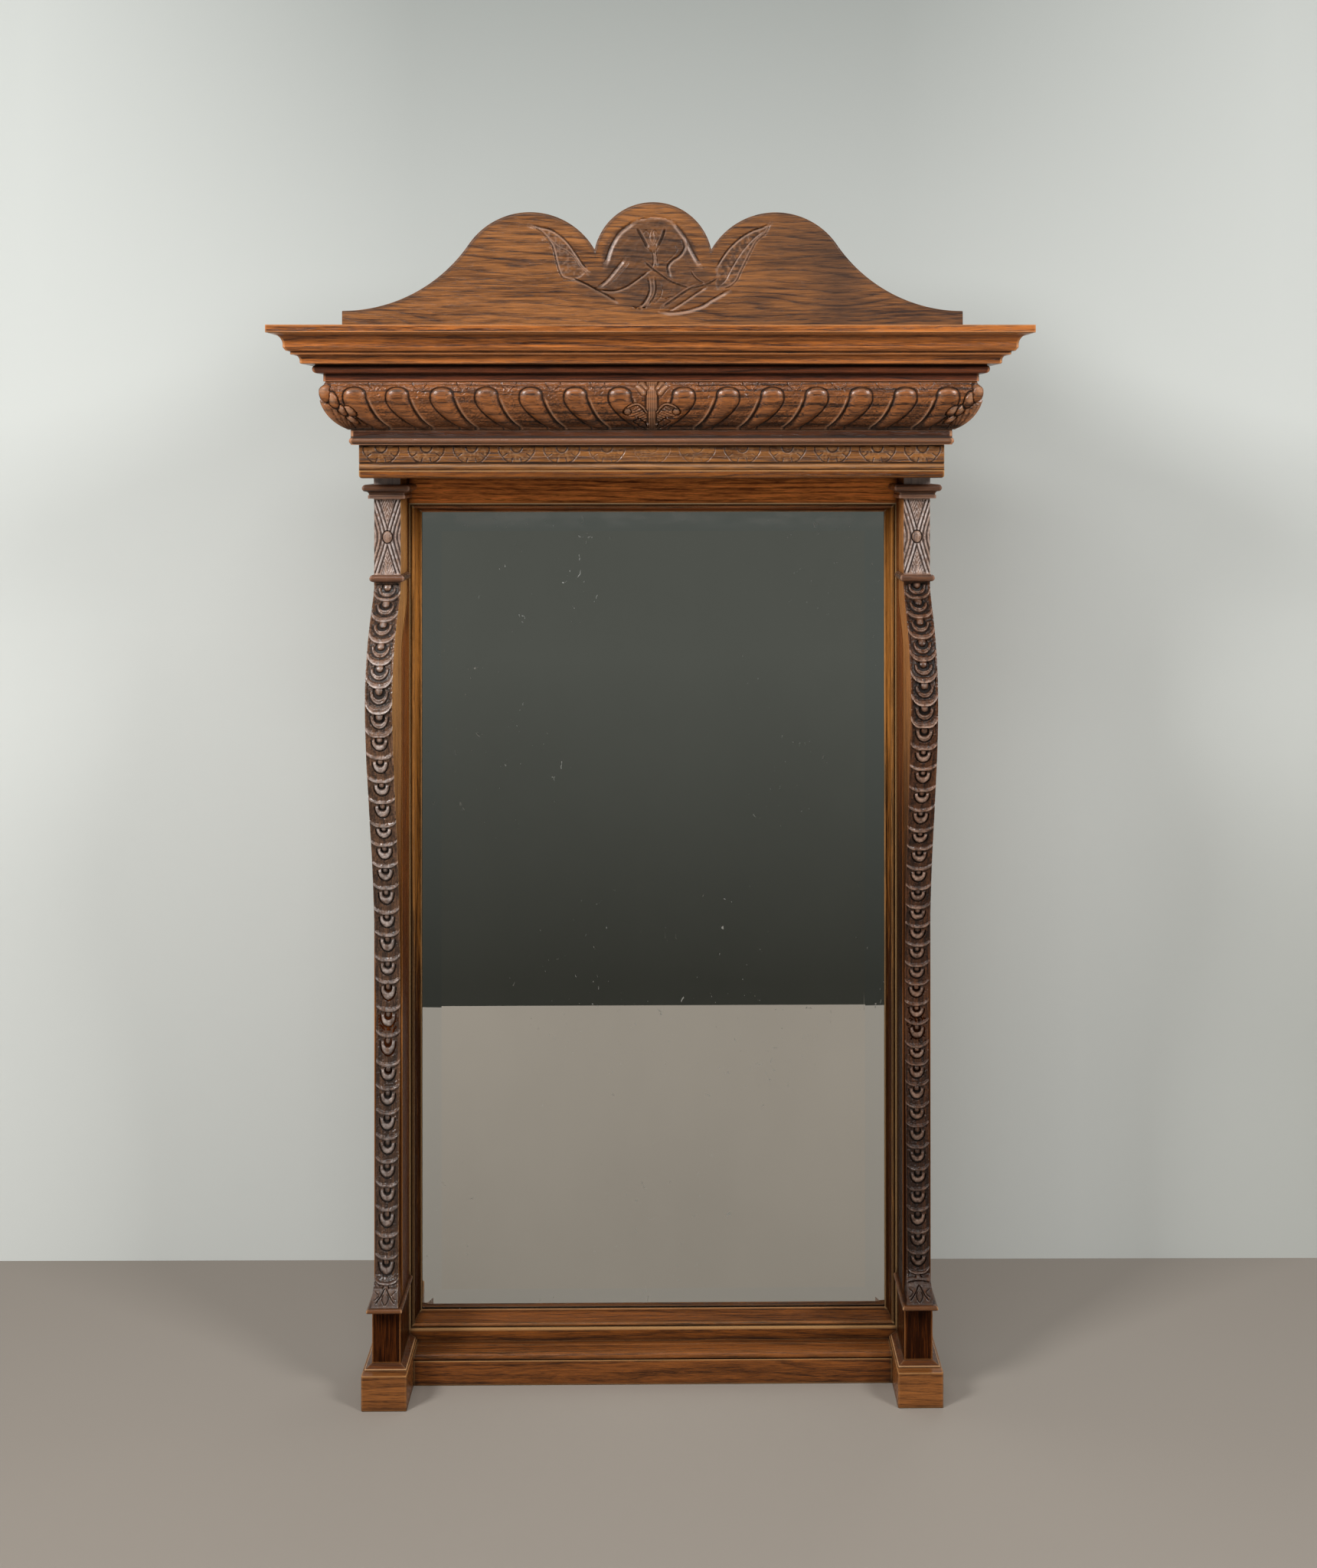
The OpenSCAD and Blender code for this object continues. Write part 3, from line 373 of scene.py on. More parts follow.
# painted light: the rail under the soffit is pale as if light reached under it
dress(make_oak("oak_top_rail_painted_light", "x", (250, 152, 76), (104, 54, 24), shift=(0.2, 0.0, 0.7), coat=0.0,
               gloss=0.12, fine=1.3), "top_rail")
dress(make_oak("oak_top_sight_moulding", "x", (178, 106, 56), (72, 36, 16), coat=0.0, gloss=0.12,
               rubbed=(252, 220, 170), shift=(0.4, 0.0, 0.1), fine=1.3), "sight_moulding_top")
dress(make_oak("oak_capitals", "x", (118, 78, 54), (48, 28, 20), rubbed=(176, 138, 116),
               shift=(0.6, 0.0, 0.2), edge=0.003, corner=0.006), "*_capital", "*_ring")

ASTRAGAL_LOW, ASTRAGAL_HIGH = (corner.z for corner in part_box("astragal_front"))
ASTRAGAL_H = ASTRAGAL_HIGH - ASTRAGAL_LOW
# a painted highlight along the bead's crest, and dirt with painted shade in the quirk between
# fillet and bead and along the top joint
MOULDED = dict(pale=(88, 50, 30), dark=(34, 17, 10), rubbed=(196, 140, 102), edge=0.0026,
               shift=(0.3, 0.0, 0.5), corner=0.006, highlit_crests=(ASTRAGAL_LOW + 0.30 * ASTRAGAL_H,),
               shaded_quirks=(ASTRAGAL_LOW + 0.50 * ASTRAGAL_H, ASTRAGAL_HIGH))
dress(make_oak("oak_mouldings", "x", **MOULDED), "astragal_front")
dress(make_oak("oak_returns", "y", **MOULDED), "astragal_*", "bed_moulding_*")
dress(make_oak("oak_bed_moulding", "x", (124, 66, 40), (46, 22, 14), rubbed=(196, 132, 92),
               shift=(0.9, 0.0, 0.4), gloss=0.25), "bed_moulding_front")
CORNICE = dict(pale=(192, 114, 54), dark=(60, 29, 12), rubbed=(216, 150, 96))
dress(make_oak("oak_cornice", "x", shift=(1.3, 0.0, 0.1), **CORNICE),
      "crown_front", "cornice_board")
dress(make_oak("oak_cornice_returns", "y", **CORNICE), "crown_*")

OAK_PEDIMENT = dress(make_oak("oak_pediment", "x", (162, 107, 61), (56, 31, 17), plain=False,
                              rubbed=(198, 164, 142), shift=(0.2, 0.0, 0.0), contrast=0.92,
                              pitch=8.0, waviness=2.4), "pediment_board")
CARVED = dict(rubbed=(200, 156, 124), wax=(20, 10, 5), contrast=1.1, plain=False)
OAK_CARVED = dress(make_oak("oak_carved", "x", (154, 94, 52), (42, 22, 12), **CARVED),
                   "frieze_front", "frieze_*_return", "gadroon_front", "gadroon_*")
OAK_CARVED_RETURN = make_oak("oak_carved_returns", "y", (158, 100, 56), (44, 24, 13), **CARVED)
OAK_FRIEZE = make_oak("oak_frieze", "x", (156, 102, 54), (72, 42, 23), rubbed=(190, 146, 104),
                      shift=(0.5, 0.0, 0.3), plain=False)
# painted shade: both shafts darken toward the foot
SHAFTS = {
    LEFT: make_oak("oak_shafts", "z", (132, 94, 68), (58, 38, 27), rubbed=(234, 218, 210),
                   wax=(14, 8, 5), coat=0.3, gloss=0.5, painted_shade=((0.80, 0.25, 0.5),), plain=False),
    RIGHT: make_oak("oak_right_shaft", "z", (104, 64, 40), (40, 22, 13), rubbed=(202, 168, 148),
                    wax=(8, 4, 2), coat=0.1, gloss=0.35, painted_shade=((0.80, 0.25, 0.5),), plain=False)}
dress(SHAFTS[LEFT], "*_shaft", "*_panel_block")
OAK_BLOCK = make_oak("oak_upper_blocks", "z", (162, 130, 110), (92, 66, 54), rubbed=(234, 224, 220),
                     wax=(34, 20, 16), plain=False)

dress(make_pine("pine_backing", (178, 140, 96), (140, 100, 62), (0.0, 0.0, 0.0)),
      "backing_board_lower", "backing_board_upper")
dress(make_pine("pine_middle_board", (170, 130, 86), (128, 90, 54), (0.9, 0.0, 0.5)),
      "backing_board_middle")
dress(make_pine("pine_blocks", (190, 152, 106), (150, 112, 70), (0.4, 0.1, 0.3)),
      "glazing_slips", "plinth_blocks", "pediment_cleats", "corner_blocks", "dowels")
dress(make_mirror_glass(), "glass_plate")
dress(make_dark_steel(), "backing_pins", "pediment_screws", "post_screws")


# ---------------------------------------------------------------- carving

def bumps(x, y, size, seed=0):
    """Smooth seeded unevenness between -1 and 1 with bumps about `size` across."""
    def corner(i, j):
        h = np.sin(i * 127.1 + j * 311.7 + seed * 74.7) * 43758.5453
        return (h - np.floor(h)) * 2 - 1
    gx, gy = x / size, y / size
    i, j = np.floor(gx), np.floor(gy)
    fx, fy = gx - i, gy - j
    fx, fy = fx * fx * (3 - 2 * fx), fy * fy * (3 - 2 * fy)
    low = corner(i, j) * (1 - fx) + corner(i + 1, j) * fx
    high = corner(i, j + 1) * (1 - fx) + corner(i + 1, j + 1) * fx
    return low * (1 - fy) + high * fy


def curve_through(points, steps=6):
    """Points of a smooth line through the given ones (any number of values each)."""
    p = np.array(points, float)
    if len(p) < 3:
        return p
    ends = np.vstack([p[0], p, p[-1]])
    t = np.linspace(0, 1, steps, endpoint=False)[:, None]
    parts = [0.5 * (2 * b + (c - a) * t + (2 * a - 5 * b + 4 * c - d) * t * t
                    + (3 * b - a - 3 * c + d) * t ** 3)
             for a, b, c, d in zip(ends[:-3], ends[1:-2], ends[2:-1], ends[3:])]
    return np.vstack(parts + [p[-1:]])


def along_line(x, y, line):
    """For each point: distance to the line, which side of it (left +1), the share of the line's
    length at the nearest place, and the line's extra values there."""
    line = np.array(line, float)
    lengths = np.hypot(*(line[1:, :2] - line[:-1, :2]).T)
    start = np.concatenate([[0], np.cumsum(lengths)])
    best = np.full(x.shape, 1e9)
    side = np.ones(x.shape)
    share = np.zeros(x.shape)
    extra = np.zeros((line.shape[1] - 2,) + x.shape)
    for k in range(len(line) - 1):
        (ax, ay), (bx, by) = line[k, :2], line[k + 1, :2]
        dx, dy = bx - ax, by - ay
        size = dx * dx + dy * dy + 1e-9
        t = np.clip(((x - ax) * dx + (y - ay) * dy) / size, 0, 1)
        gap = np.hypot(x - ax - t * dx, y - ay - t * dy)
        closer = gap < best
        best = np.where(closer, gap, best)
        side = np.where(closer, np.where(dx * (y - ay) - dy * (x - ax) >= 0, 1.0, -1.0), side)
        share = np.where(closer, (start[k] + t * lengths[k]) / start[-1], share)
        for m in range(len(extra)):
            value = line[k, 2 + m] * (1 - t) + line[k + 1, 2 + m] * t
            extra[m] = np.where(closer, value, extra[m])
    return best, side, share, extra


def near(x, y, line, reach):
    """Which points lie in the line's box, grown by reach."""
    line = np.array(line, float)
    low, high = line[:, :2].min(0) - reach, line[:, :2].max(0) + reach
    return (x > low[0]) & (x < high[0]) & (y > low[1]) & (y < high[1])


def chip(depth, x, y, points, cut, steep, slope, side=0, highlight_and_rub=None):
    """Cuts a line into depth. One wall is steep and the other slopes back; side picks which.
    Where a highlight array is given, a painted highlight with a rub along the crest of the sloping
    wall is written there."""
    line = curve_through(points)
    box = near(x, y, line, max(steep, slope) + 2)
    gap, where, share, _ = along_line(x[box], y[box], line)
    sloping = (where == side) if side else np.zeros(gap.shape, bool)
    width = np.where(sloping, slope, steep)
    taper = np.clip(np.minimum(share, 1 - share) * 7 + 0.25, 0, 1)
    depth[box] = np.maximum(depth[box], cut * taper * np.clip(1 - gap / width, 0, 1))
    if highlight_and_rub is not None:
        crest = np.exp(-((gap - 0.55 * slope) / (0.17 * slope + 0.3)) ** 2) * sloping * taper
        highlight_and_rub[box] = np.maximum(highlight_and_rub[box], crest * min(1.0, cut / 2.2))


def within(x, y, outline):
    """Which points lie inside a closed outline, and how far they are from it."""
    inside = np.zeros(x.shape, bool)
    for (ax, ay), (bx, by) in zip(outline, np.roll(outline, -1, 0)):
        crosses = (ay > y) != (by > y)
        inside ^= crosses & (x < (bx - ax) * (y - ay) / (by - ay + 1e-12) + ax)
    return inside, along_line(x, y, np.vstack([outline, outline[:1]]))[0]


def read(items, key, count=3, kind=np.float32):
    """The values of all points, edges or faces, a row each."""
    values = np.empty(len(items) * count, kind)
    items.foreach_get(key, values)
    return values.reshape(-1, count)


def edit_edges():
    bpy.ops.object.mode_set(mode="EDIT")
    bpy.context.tool_settings.mesh_select_mode = (False, True, False)


def finish_mesh():
    """Drops faces of no area, turns the rest outward and shades the mesh being edited."""
    bpy.ops.mesh.select_all(action="SELECT")
    bpy.ops.mesh.dissolve_degenerate(threshold=1e-7)
    bpy.ops.mesh.select_all(action="SELECT")
    bpy.ops.mesh.normals_make_consistent(inside=False)
    bpy.ops.object.mode_set(mode="OBJECT")
    bpy.ops.object.shade_smooth_by_angle(angle=math.radians(50))


def close_back(piece, back_of):
    """Turns the open carved face into a solid: its rim goes straight back and is filled.
    back_of gives new X and Y for the rim's own."""
    mesh = piece.data
    pick(piece)
    edit_edges()
    bpy.ops.mesh.select_all(action="SELECT")
    bpy.ops.mesh.region_to_loop()
    bpy.ops.mesh.extrude_edges_move()
    bpy.ops.object.mode_set(mode="OBJECT")
    rim = read(mesh.vertices, "select", 1, bool)[:, 0]
    place = read(mesh.vertices, "co")
    place[rim, 0], place[rim, 1] = back_of(place[rim, 0], place[rim, 1])
    mesh.vertices.foreach_set("co", place.ravel())
    bpy.ops.object.mode_set(mode="EDIT")
    bpy.ops.mesh.edge_face_add()
    finish_mesh()


def close_tube(piece, u, v):
    """Joins the two long edges of a bent sheet across the back and fills its two ends."""
    mesh, edge = piece.data, 0.9999
    pick(piece)
    for chosen, close in ((np.abs(u) > edge, bpy.ops.mesh.bridge_edge_loops),
                          (v > edge, bpy.ops.mesh.edge_face_add),
                          (v < -edge, bpy.ops.mesh.edge_face_add)):
        bpy.ops.object.mode_set(mode="OBJECT")
        for items in (mesh.polygons, mesh.vertices):
            items.foreach_set("select", np.zeros(len(items), bool))
        ends = read(mesh.edges, "vertices", 2, np.int32)
        mesh.edges.foreach_set("select", chosen[ends].all(1))
        edit_edges()
        close()
    finish_mesh()


def fine_sheet(name, columns, rows):
    """A flat grid from -1 to 1 both ways, with its points' places across and up."""
    deselect()
    bpy.ops.mesh.primitive_grid_add(x_subdivisions=columns, y_subdivisions=rows, size=2.0)
    piece = bpy.context.object
    piece.name = name
    flat = read(piece.data.vertices, "co").astype(float)
    return piece, flat[:, 0], flat[:, 1]


def shape_sheet(piece, x, depth, z, recess, wear):
    """Moves the sheet's points to X, depth and height in millimetres and writes its marks."""
    place = np.stack([x * MM, WALL_Y - depth * MM, z * MM], 1).astype(np.float32)
    piece.data.vertices.foreach_set("co", place.ravel())
    for label, values in (("recess", recess), ("wear", wear)):
        mark = piece.data.attributes.new(label, "FLOAT", "POINT")
        mark.data.foreach_set("value", np.clip(values, 0, 1).astype(np.float32))
    piece.data.update()


def settle(piece, slot, finish, *nodes):
    piece.data.materials.append(finish)
    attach(piece, "root")
    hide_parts(*nodes)


# ---------------------------------------------------------------- pediment

PEDIMENT_X, PEDIMENT_BASE, PEDIMENT_TOP = 399.0, 1329.5, 1500.0
PEDIMENT_BACK, PEDIMENT_FACE = 30.0, 50.0
END_Z, LOBE_R, HUMP_R, HUMP_X, HUMP_TOP = 1360.0, 76.6, 95.8, 158.0, 1487.0

# the two long leaves: upper edge, lower edge, vein, stain, side the edges' walls lean to
LEAVES = (
    ([(-159, 1470), (-132, 1465), (-112, 1451), (-99, 1434), (-89, 1419), (-82, 1412)],
     [(-159, 1470), (-143, 1461), (-130, 1444), (-125, 1426), (-121, 1412), (-115, 1402),
      (-100, 1399), (-82, 1412)],
     [(-144, 1463), (-130, 1449), (-121, 1441), (-112, 1437), (-102, 1428), (-95, 1417),
      (-84, 1406)], 0.6, -1),
    ([(151, 1472), (138, 1467), (127, 1463), (112, 1454), (98, 1441), (87, 1426), (81, 1414)],
     [(151, 1472), (146, 1461), (134, 1450), (127, 1438), (121, 1426), (114, 1412),
      (107, 1398), (96, 1390), (81, 1388), (81, 1414)],
     [(146, 1466), (131, 1455), (117, 1440), (108, 1427), (99, 1412), (93, 1400), (84, 1392)],
     1.1, 1))
ARCH = [(-63, 1419), (-55, 1443), (-43, 1462), (-24, 1476), (2, 1481), (27, 1475), (42, 1456),
        (52, 1436), (62, 1419)]
# the flower and its stems: points, depth, width of the steep wall and of the other, its side
STROKES = (
    ([(-104, 1403), (-86, 1395), (-75, 1389), (-60, 1381), (-46, 1372)], 2.6, 1.1, 3.6, -1),
    ([(-70, 1387), (-51, 1386), (-35, 1391), (-20, 1401), (-5, 1412)], 2.2, 1.0, 3.4, -1),
    ([(-12, 1424), (-2, 1415), (9, 1407), (24, 1397), (48, 1389)], 2.6, 1.1, 3.6, 1),
    ([(-38, 1427), (-50, 1412), (-60, 1400), (-70, 1392)], 1.7, 1.4, 6.0, 1),
    ([(-30, 1423), (-42, 1409), (-54, 1397), (-66, 1389)], 1.2, 1.0, 2.6, -1),
    ([(-21, 1465), (-14, 1453), (-8, 1441)], 3.0, 1.2, 6.0, 1),
    ([(16, 1465), (12, 1453), (7, 1443)], 3.0, 1.2, 6.0, -1),
    ([(-3, 1464), (-5, 1454), (-1, 1445), (3, 1454), (1, 1464)], 1.4, 1.0, 2.4, 1),
    ([(-20, 1463), (-14, 1458), (-9, 1464), (-3, 1457), (2, 1464), (8, 1458), (14, 1463)],
     1.4, 1.0, 2.0, 0),
    ([(-8, 1442), (-2, 1436), (3, 1436), (7, 1445)], 1.6, 1.0, 2.4, 0),
    ([(-2, 1438), (0, 1430), (0, 1421), (-3, 1412)], 1.8, 1.1, 2.4, 1),
    ([(4, 1438), (5, 1429), (6, 1418)], 1.6, 1.0, 2.4, -1),
    ([(36, 1452), (40, 1442), (34, 1432), (24, 1425), (18, 1416), (22, 1402)], 2.2, 1.1, 5.0, 1),
    ([(28, 1447), (31, 1438), (24, 1429), (16, 1422)], 1.2, 0.9, 2.2, 0),
    ([(42, 1455), (44, 1445), (39, 1434)], 1.6, 1.0, 2.6, -1),
    ([(48, 1411), (55, 1402), (66, 1395)], 2.2, 1.0, 3.0, 1),
    ([(84, 1402), (71, 1395), (58, 1391), (46, 1389)], 2.3, 1.0, 3.2, -1),
    ([(-7, 1403), (-5, 1387), (-10, 1374), (-18, 1365)], 2.3, 1.1, 4.2, 1),
    ([(3, 1403), (4, 1388), (1, 1377), (-6, 1368)], 2.3, 1.1, 4.2, -1),
    ([(9, 1402), (12, 1390), (9, 1378), (2, 1370)], 1.3, 0.9, 2.2, 0),
    ([(-26, 1365), (-18, 1363), (-8, 1365)], 2.2, 1.0, 1.6, 0),
    ([(7, 1380), (16, 1376), (24, 1378)], 1.4, 0.9, 1.8, 0),
    ([(10, 1360), (25, 1359), (42, 1361), (62, 1367), (77, 1376), (97, 1387)], 1.7, 1.0, 5.2, -1),
    ([(12, 1364), (28, 1375), (44, 1386), (57, 1392)], 2.3, 1.2, 5.2, 1),
    ([(20, 1360), (38, 1371), (54, 1382), (68, 1391)], 1.7, 1.0, 3.4, -1))


def pediment_top(x):
    """Height of the board's edge: middle lobe, humps and the long outer hollows."""
    a = np.abs(x)
    lobe = PEDIMENT_TOP - LOBE_R + np.sqrt(np.maximum(LOBE_R ** 2 - a * a, 0))
    lobe = np.where(a < LOBE_R, lobe, 0)
    hump_z = HUMP_TOP - HUMP_R
    hump = hump_z + np.sqrt(np.maximum(HUMP_R ** 2 - (a - HUMP_X) ** 2, 0))
    run, rise = PEDIMENT_X - HUMP_X, hump_z - END_Z
    hollow_r = (run * run + rise * rise - HUMP_R ** 2) / (2 * (HUMP_R + rise))
    touch_x = HUMP_X + HUMP_R / (HUMP_R + hollow_r) * run
    hollow = END_Z + hollow_r - np.sqrt(np.maximum(hollow_r ** 2 - (PEDIMENT_X - a) ** 2, 0))
    return np.maximum(lobe, np.where(a < touch_x, hump, hollow))


def below_top(x, z):
    """Rough distance from a point of the board to its shaped top edge."""
    slope = pediment_top(x + 0.5) - pediment_top(x - 0.5)
    return (pediment_top(x) - z) / np.sqrt(1 + slope * slope)


def carve_leaf(depth, highlight_and_rub, dark, x, z, upper, lower, vein, stain):
    """A long leaf: its inside drops a little from both edges and carries a vein with side cuts."""
    outline = np.vstack([curve_through(upper), curve_through(lower)[::-1]])
    box = near(x, z, outline, 2)
    bx, bz = x[box], z[box]
    inside, gap = within(bx, bz, outline)
    sunk = (0.75 + 0.25 * bumps(bx, bz, 4.0, 51)) * smooth(gap, 0, 2.5)
    depth[box] = np.maximum(depth[box], np.where(inside, sunk, 0))
    blotch = 0.75 + 0.6 * bumps(bx, bz, 3.6, 52)
    dark[box] = np.maximum(dark[box], inside * stain * blotch * smooth(gap, 0, 3.0))
    fleck = 0.35 * smooth(bumps(bx, bz, 2.6, 53), 0.1, 0.6)
    highlight_and_rub[box] = np.maximum(highlight_and_rub[box], inside * fleck)
    chip(depth, x, z, vein, 1.9, 0.9, 2.6, side=1, highlight_and_rub=highlight_and_rub)
    line = curve_through(vein)
    for start, later in zip(line[4:-3:5], line[6::5]):
        (dx, dz), back, out = (later - start) / math.hypot(*(later - start)), 4.5, 7.5
        for lean in (-1, 1):
            end = start + (-back * dx - lean * out * dz, -back * dz + lean * out * dx)
            chip(depth, x, z, [start, end], 1.3, 0.7, 1.9, side=lean, highlight_and_rub=highlight_and_rub)


def pediment_carving(x, z):
    """Depth, painted highlights with rubbed places, and stained places: an arch, two long leaves
    and a tulip on crossed stems.
    """
    depth, highlight_and_rub, dark = np.zeros(x.shape), np.zeros(x.shape), np.zeros(x.shape)
    chip(depth, x, z, ARCH[3:7], 1.2, 1.0, 4.0, side=-1)
    for part in (ARCH[:4], ARCH[5:]):
        chip(depth, x, z, part, 2.4, 1.6, 7.0, side=-1, highlight_and_rub=highlight_and_rub)
    for upper, lower, vein, stain, lean in LEAVES:
        carve_leaf(depth, highlight_and_rub, dark, x, z, upper, lower, vein, stain)
        chip(depth, x, z, upper, 2.5, 1.0, 3.8, side=lean, highlight_and_rub=highlight_and_rub)
        chip(depth, x, z, lower[:-1], 2.2, 1.0, 3.6, side=-lean, highlight_and_rub=highlight_and_rub)
    for points, cut, steep, slope, side in STROKES:
        chip(depth, x, z, points, 1.3 * cut, steep, 0.95 * slope, side, highlight_and_rub)
    lobe_bed = smooth(np.hypot((x + 4) / 62, (z - 1426) / 52), 1.04, 0.94)
    stem_bed = smooth(np.hypot((x + 2) / 104, (z - 1394) / 34), 1.05, 0.75)
    bed = np.maximum(lobe_bed, 0.85 * stem_bed) * (0.8 + 0.3 * bumps(x, z, 11.0, 12))
    depth = np.maximum(depth, lobe_bed * (0.35 + 0.25 * bumps(x, z, 3.0, 13)))
    return depth, highlight_and_rub, np.maximum(dark, bed)


def make_pediment():
    piece, u, v = fine_sheet("carved_pediment", 600, 142)
    inner, dense = 0.76, 172.0      # this share of the columns goes to the carved middle
    a = np.abs(u)
    x = np.sign(u) * np.where(a < inner, a / inner * dense,
                              dense + (a - inner) / (1 - inner) * (PEDIMENT_X - dense))
    z = PEDIMENT_BASE + (v + 1) / 2 * (pediment_top(x) - PEDIMENT_BASE)
    cut, highlight_and_rub, dark = pediment_carving(x, z)
    rim = below_top(x, z)
    depth = PEDIMENT_FACE - np.maximum(cut, 1.3 * (1 - smooth(rim, 0, 2.4)))
    stain = 0.74 * np.clip(dark, 0, 1.1) * (1 - 0.6 * np.clip(highlight_and_rub, 0, 1))
    redder = 0.55 * smooth(x, 20, 150) * (0.8 + 0.5 * bumps(x, z, 60.0, 16))
    # dark wax with painted shade in the deeper cuts; stains, a redder right side and a darker band
    # along the top edge
    recess = np.maximum.reduce([0.95 * smooth(cut, 1.1, 2.3), stain, redder,
                                0.5 * (1 - smooth(rim, 1.5, 7.0))])
    # a rubbed top edge, and painted highlights along the cut slopes
    wear = (1 - smooth(rim, 0.2, 1.2)) * 0.35 + highlight_and_rub
    shape_sheet(piece, x, depth, z, recess, wear)
    close_back(piece, lambda x, y: (x, WALL_Y - PEDIMENT_BACK * MM))
    settle(piece, "oak_pediment", OAK_PEDIMENT, "pediment_board")


# ---------------------------------------------------------------- gadroon moulding

def arc_radius(reach, rise):
    """Radius of an arc that starts level with its centre and leans by reach over rise."""
    return (reach * reach + rise * rise) / (2 * reach)


FRIEZE_X, FRIEZE_FACE = 358.5, 172.0
GADROON_BASE, GADROON_H, GADROON_P, GADROON_FOOT_P = 1206.5, 58.0, 42.5, 11.5
WIDE_H = GADROON_H * 0.8
LOW_R = arc_radius(GADROON_P - GADROON_FOOT_P, WIDE_H)
TOP_R = arc_radius(7.5, GADROON_H - WIDE_H)
LOW_START = -math.asin(WIDE_H / LOW_R)
TOP_END = math.asin((GADROON_H - WIDE_H) / TOP_R)
LOW_LENGTH = -LOW_START * LOW_R
PROFILE_LENGTH = LOW_LENGTH + TOP_END * TOP_R
LOBE_FIRST, LOBE_PITCH = 38.8, 53.6
# a lobe from head to tail: distance from its middle, length up the profile, radius
LOBE_LINE = [(0.0, 52.0, 12.2), (0.4, 47.0, 12.2), (4.4, 38.0, 11.0), (11.6, 25.5, 9.0),
             (19.6, 13.0, 7.4), (26.4, 4.0, 6.4), (31.0, -1.5, 5.8)]
# round tips of the corner leaf: distance from the mitre, height, half width, half height
LEAF_TIPS = ((22.5, 18.0, 4.6, 7.5), (29.5, 32.0, 6.8, 7.2), (20.5, 33.5, 4.8, 8.0),
             (14.8, 47.0, 6.8, 10.5), (4.6, 57.0, 7.2, 12.5))


def gadroon_profile(s):
    """Projection, height and outward direction at a length s up the swelling profile."""
    low = s < LOW_LENGTH
    turn = np.where(low, LOW_START + s / LOW_R, (s - LOW_LENGTH) / TOP_R)
    radius = np.where(low, LOW_R, TOP_R)
    p = GADROON_P - radius + radius * np.cos(turn)
    h = WIDE_H + radius * np.sin(turn)
    return p, h, np.cos(turn), np.sin(turn)


def carve_lobe(depth, shine, x, s, head, lean):
    """One comma-shaped lobe with a dark groove round it and a thin rim under its outer side."""
    line = curve_through([(head + lean * px, py, r) for px, py, r in LOBE_LINE], 4)
    box = near(x, s, line, 20)
    gap, side, _, (radius,) = along_line(x[box], s[box], line)
    d, q = gap - radius, np.clip(gap / radius, 0, 1)
    outer = side == lean
    low = smooth(s[box], 54, 42)
    dome_edge, ground, deepest, rim_away, rim_reach = 0.2, 3.0, 4.9, 1.9, 5.0
    dome = 0.1 + ground * q ** 2.4
    wide = np.where(outer, 3.4, 2.6)
    off_middle = np.abs(d - dome_edge - wide / 2) / (wide / 2)
    groove = np.maximum(deepest - 1.7 * off_middle, ground)
    from_rim = d - wide - rim_away
    rim = ground - 1.9 * np.exp(-(from_rim / 1.15) ** 2) * outer * low
    made = np.where(d < dome_edge, dome, np.where(d < wide, groove, rim))
    beyond = np.where(d < wide + rim_reach, np.minimum(depth[box], made), depth[box])
    depth[box] = np.where(d < wide, made, beyond)
    # painted highlights on the dome's edge and on the rim
    on_dome = np.where(d < 0, 0.25 * np.exp(-((q - 0.75) / 0.2) ** 2) * (1 - low), 0)
    on_rim = np.exp(-from_rim ** 2) * outer * 0.9 * low
    shine[box] = np.maximum(shine[box], on_dome + on_rim)


def carve_darts(depth, x, s, middle):
    """A pointed dart that hangs from the moulding's top between two lobes."""
    for lean in (-1, 1):
        chip(depth, x, s, [(middle + lean * 9.6, PROFILE_LENGTH), (middle + lean * 6.2, 66.0),
                           (middle + lean * 2.2, 60.0)], 4.9, 1.1, 1.1)


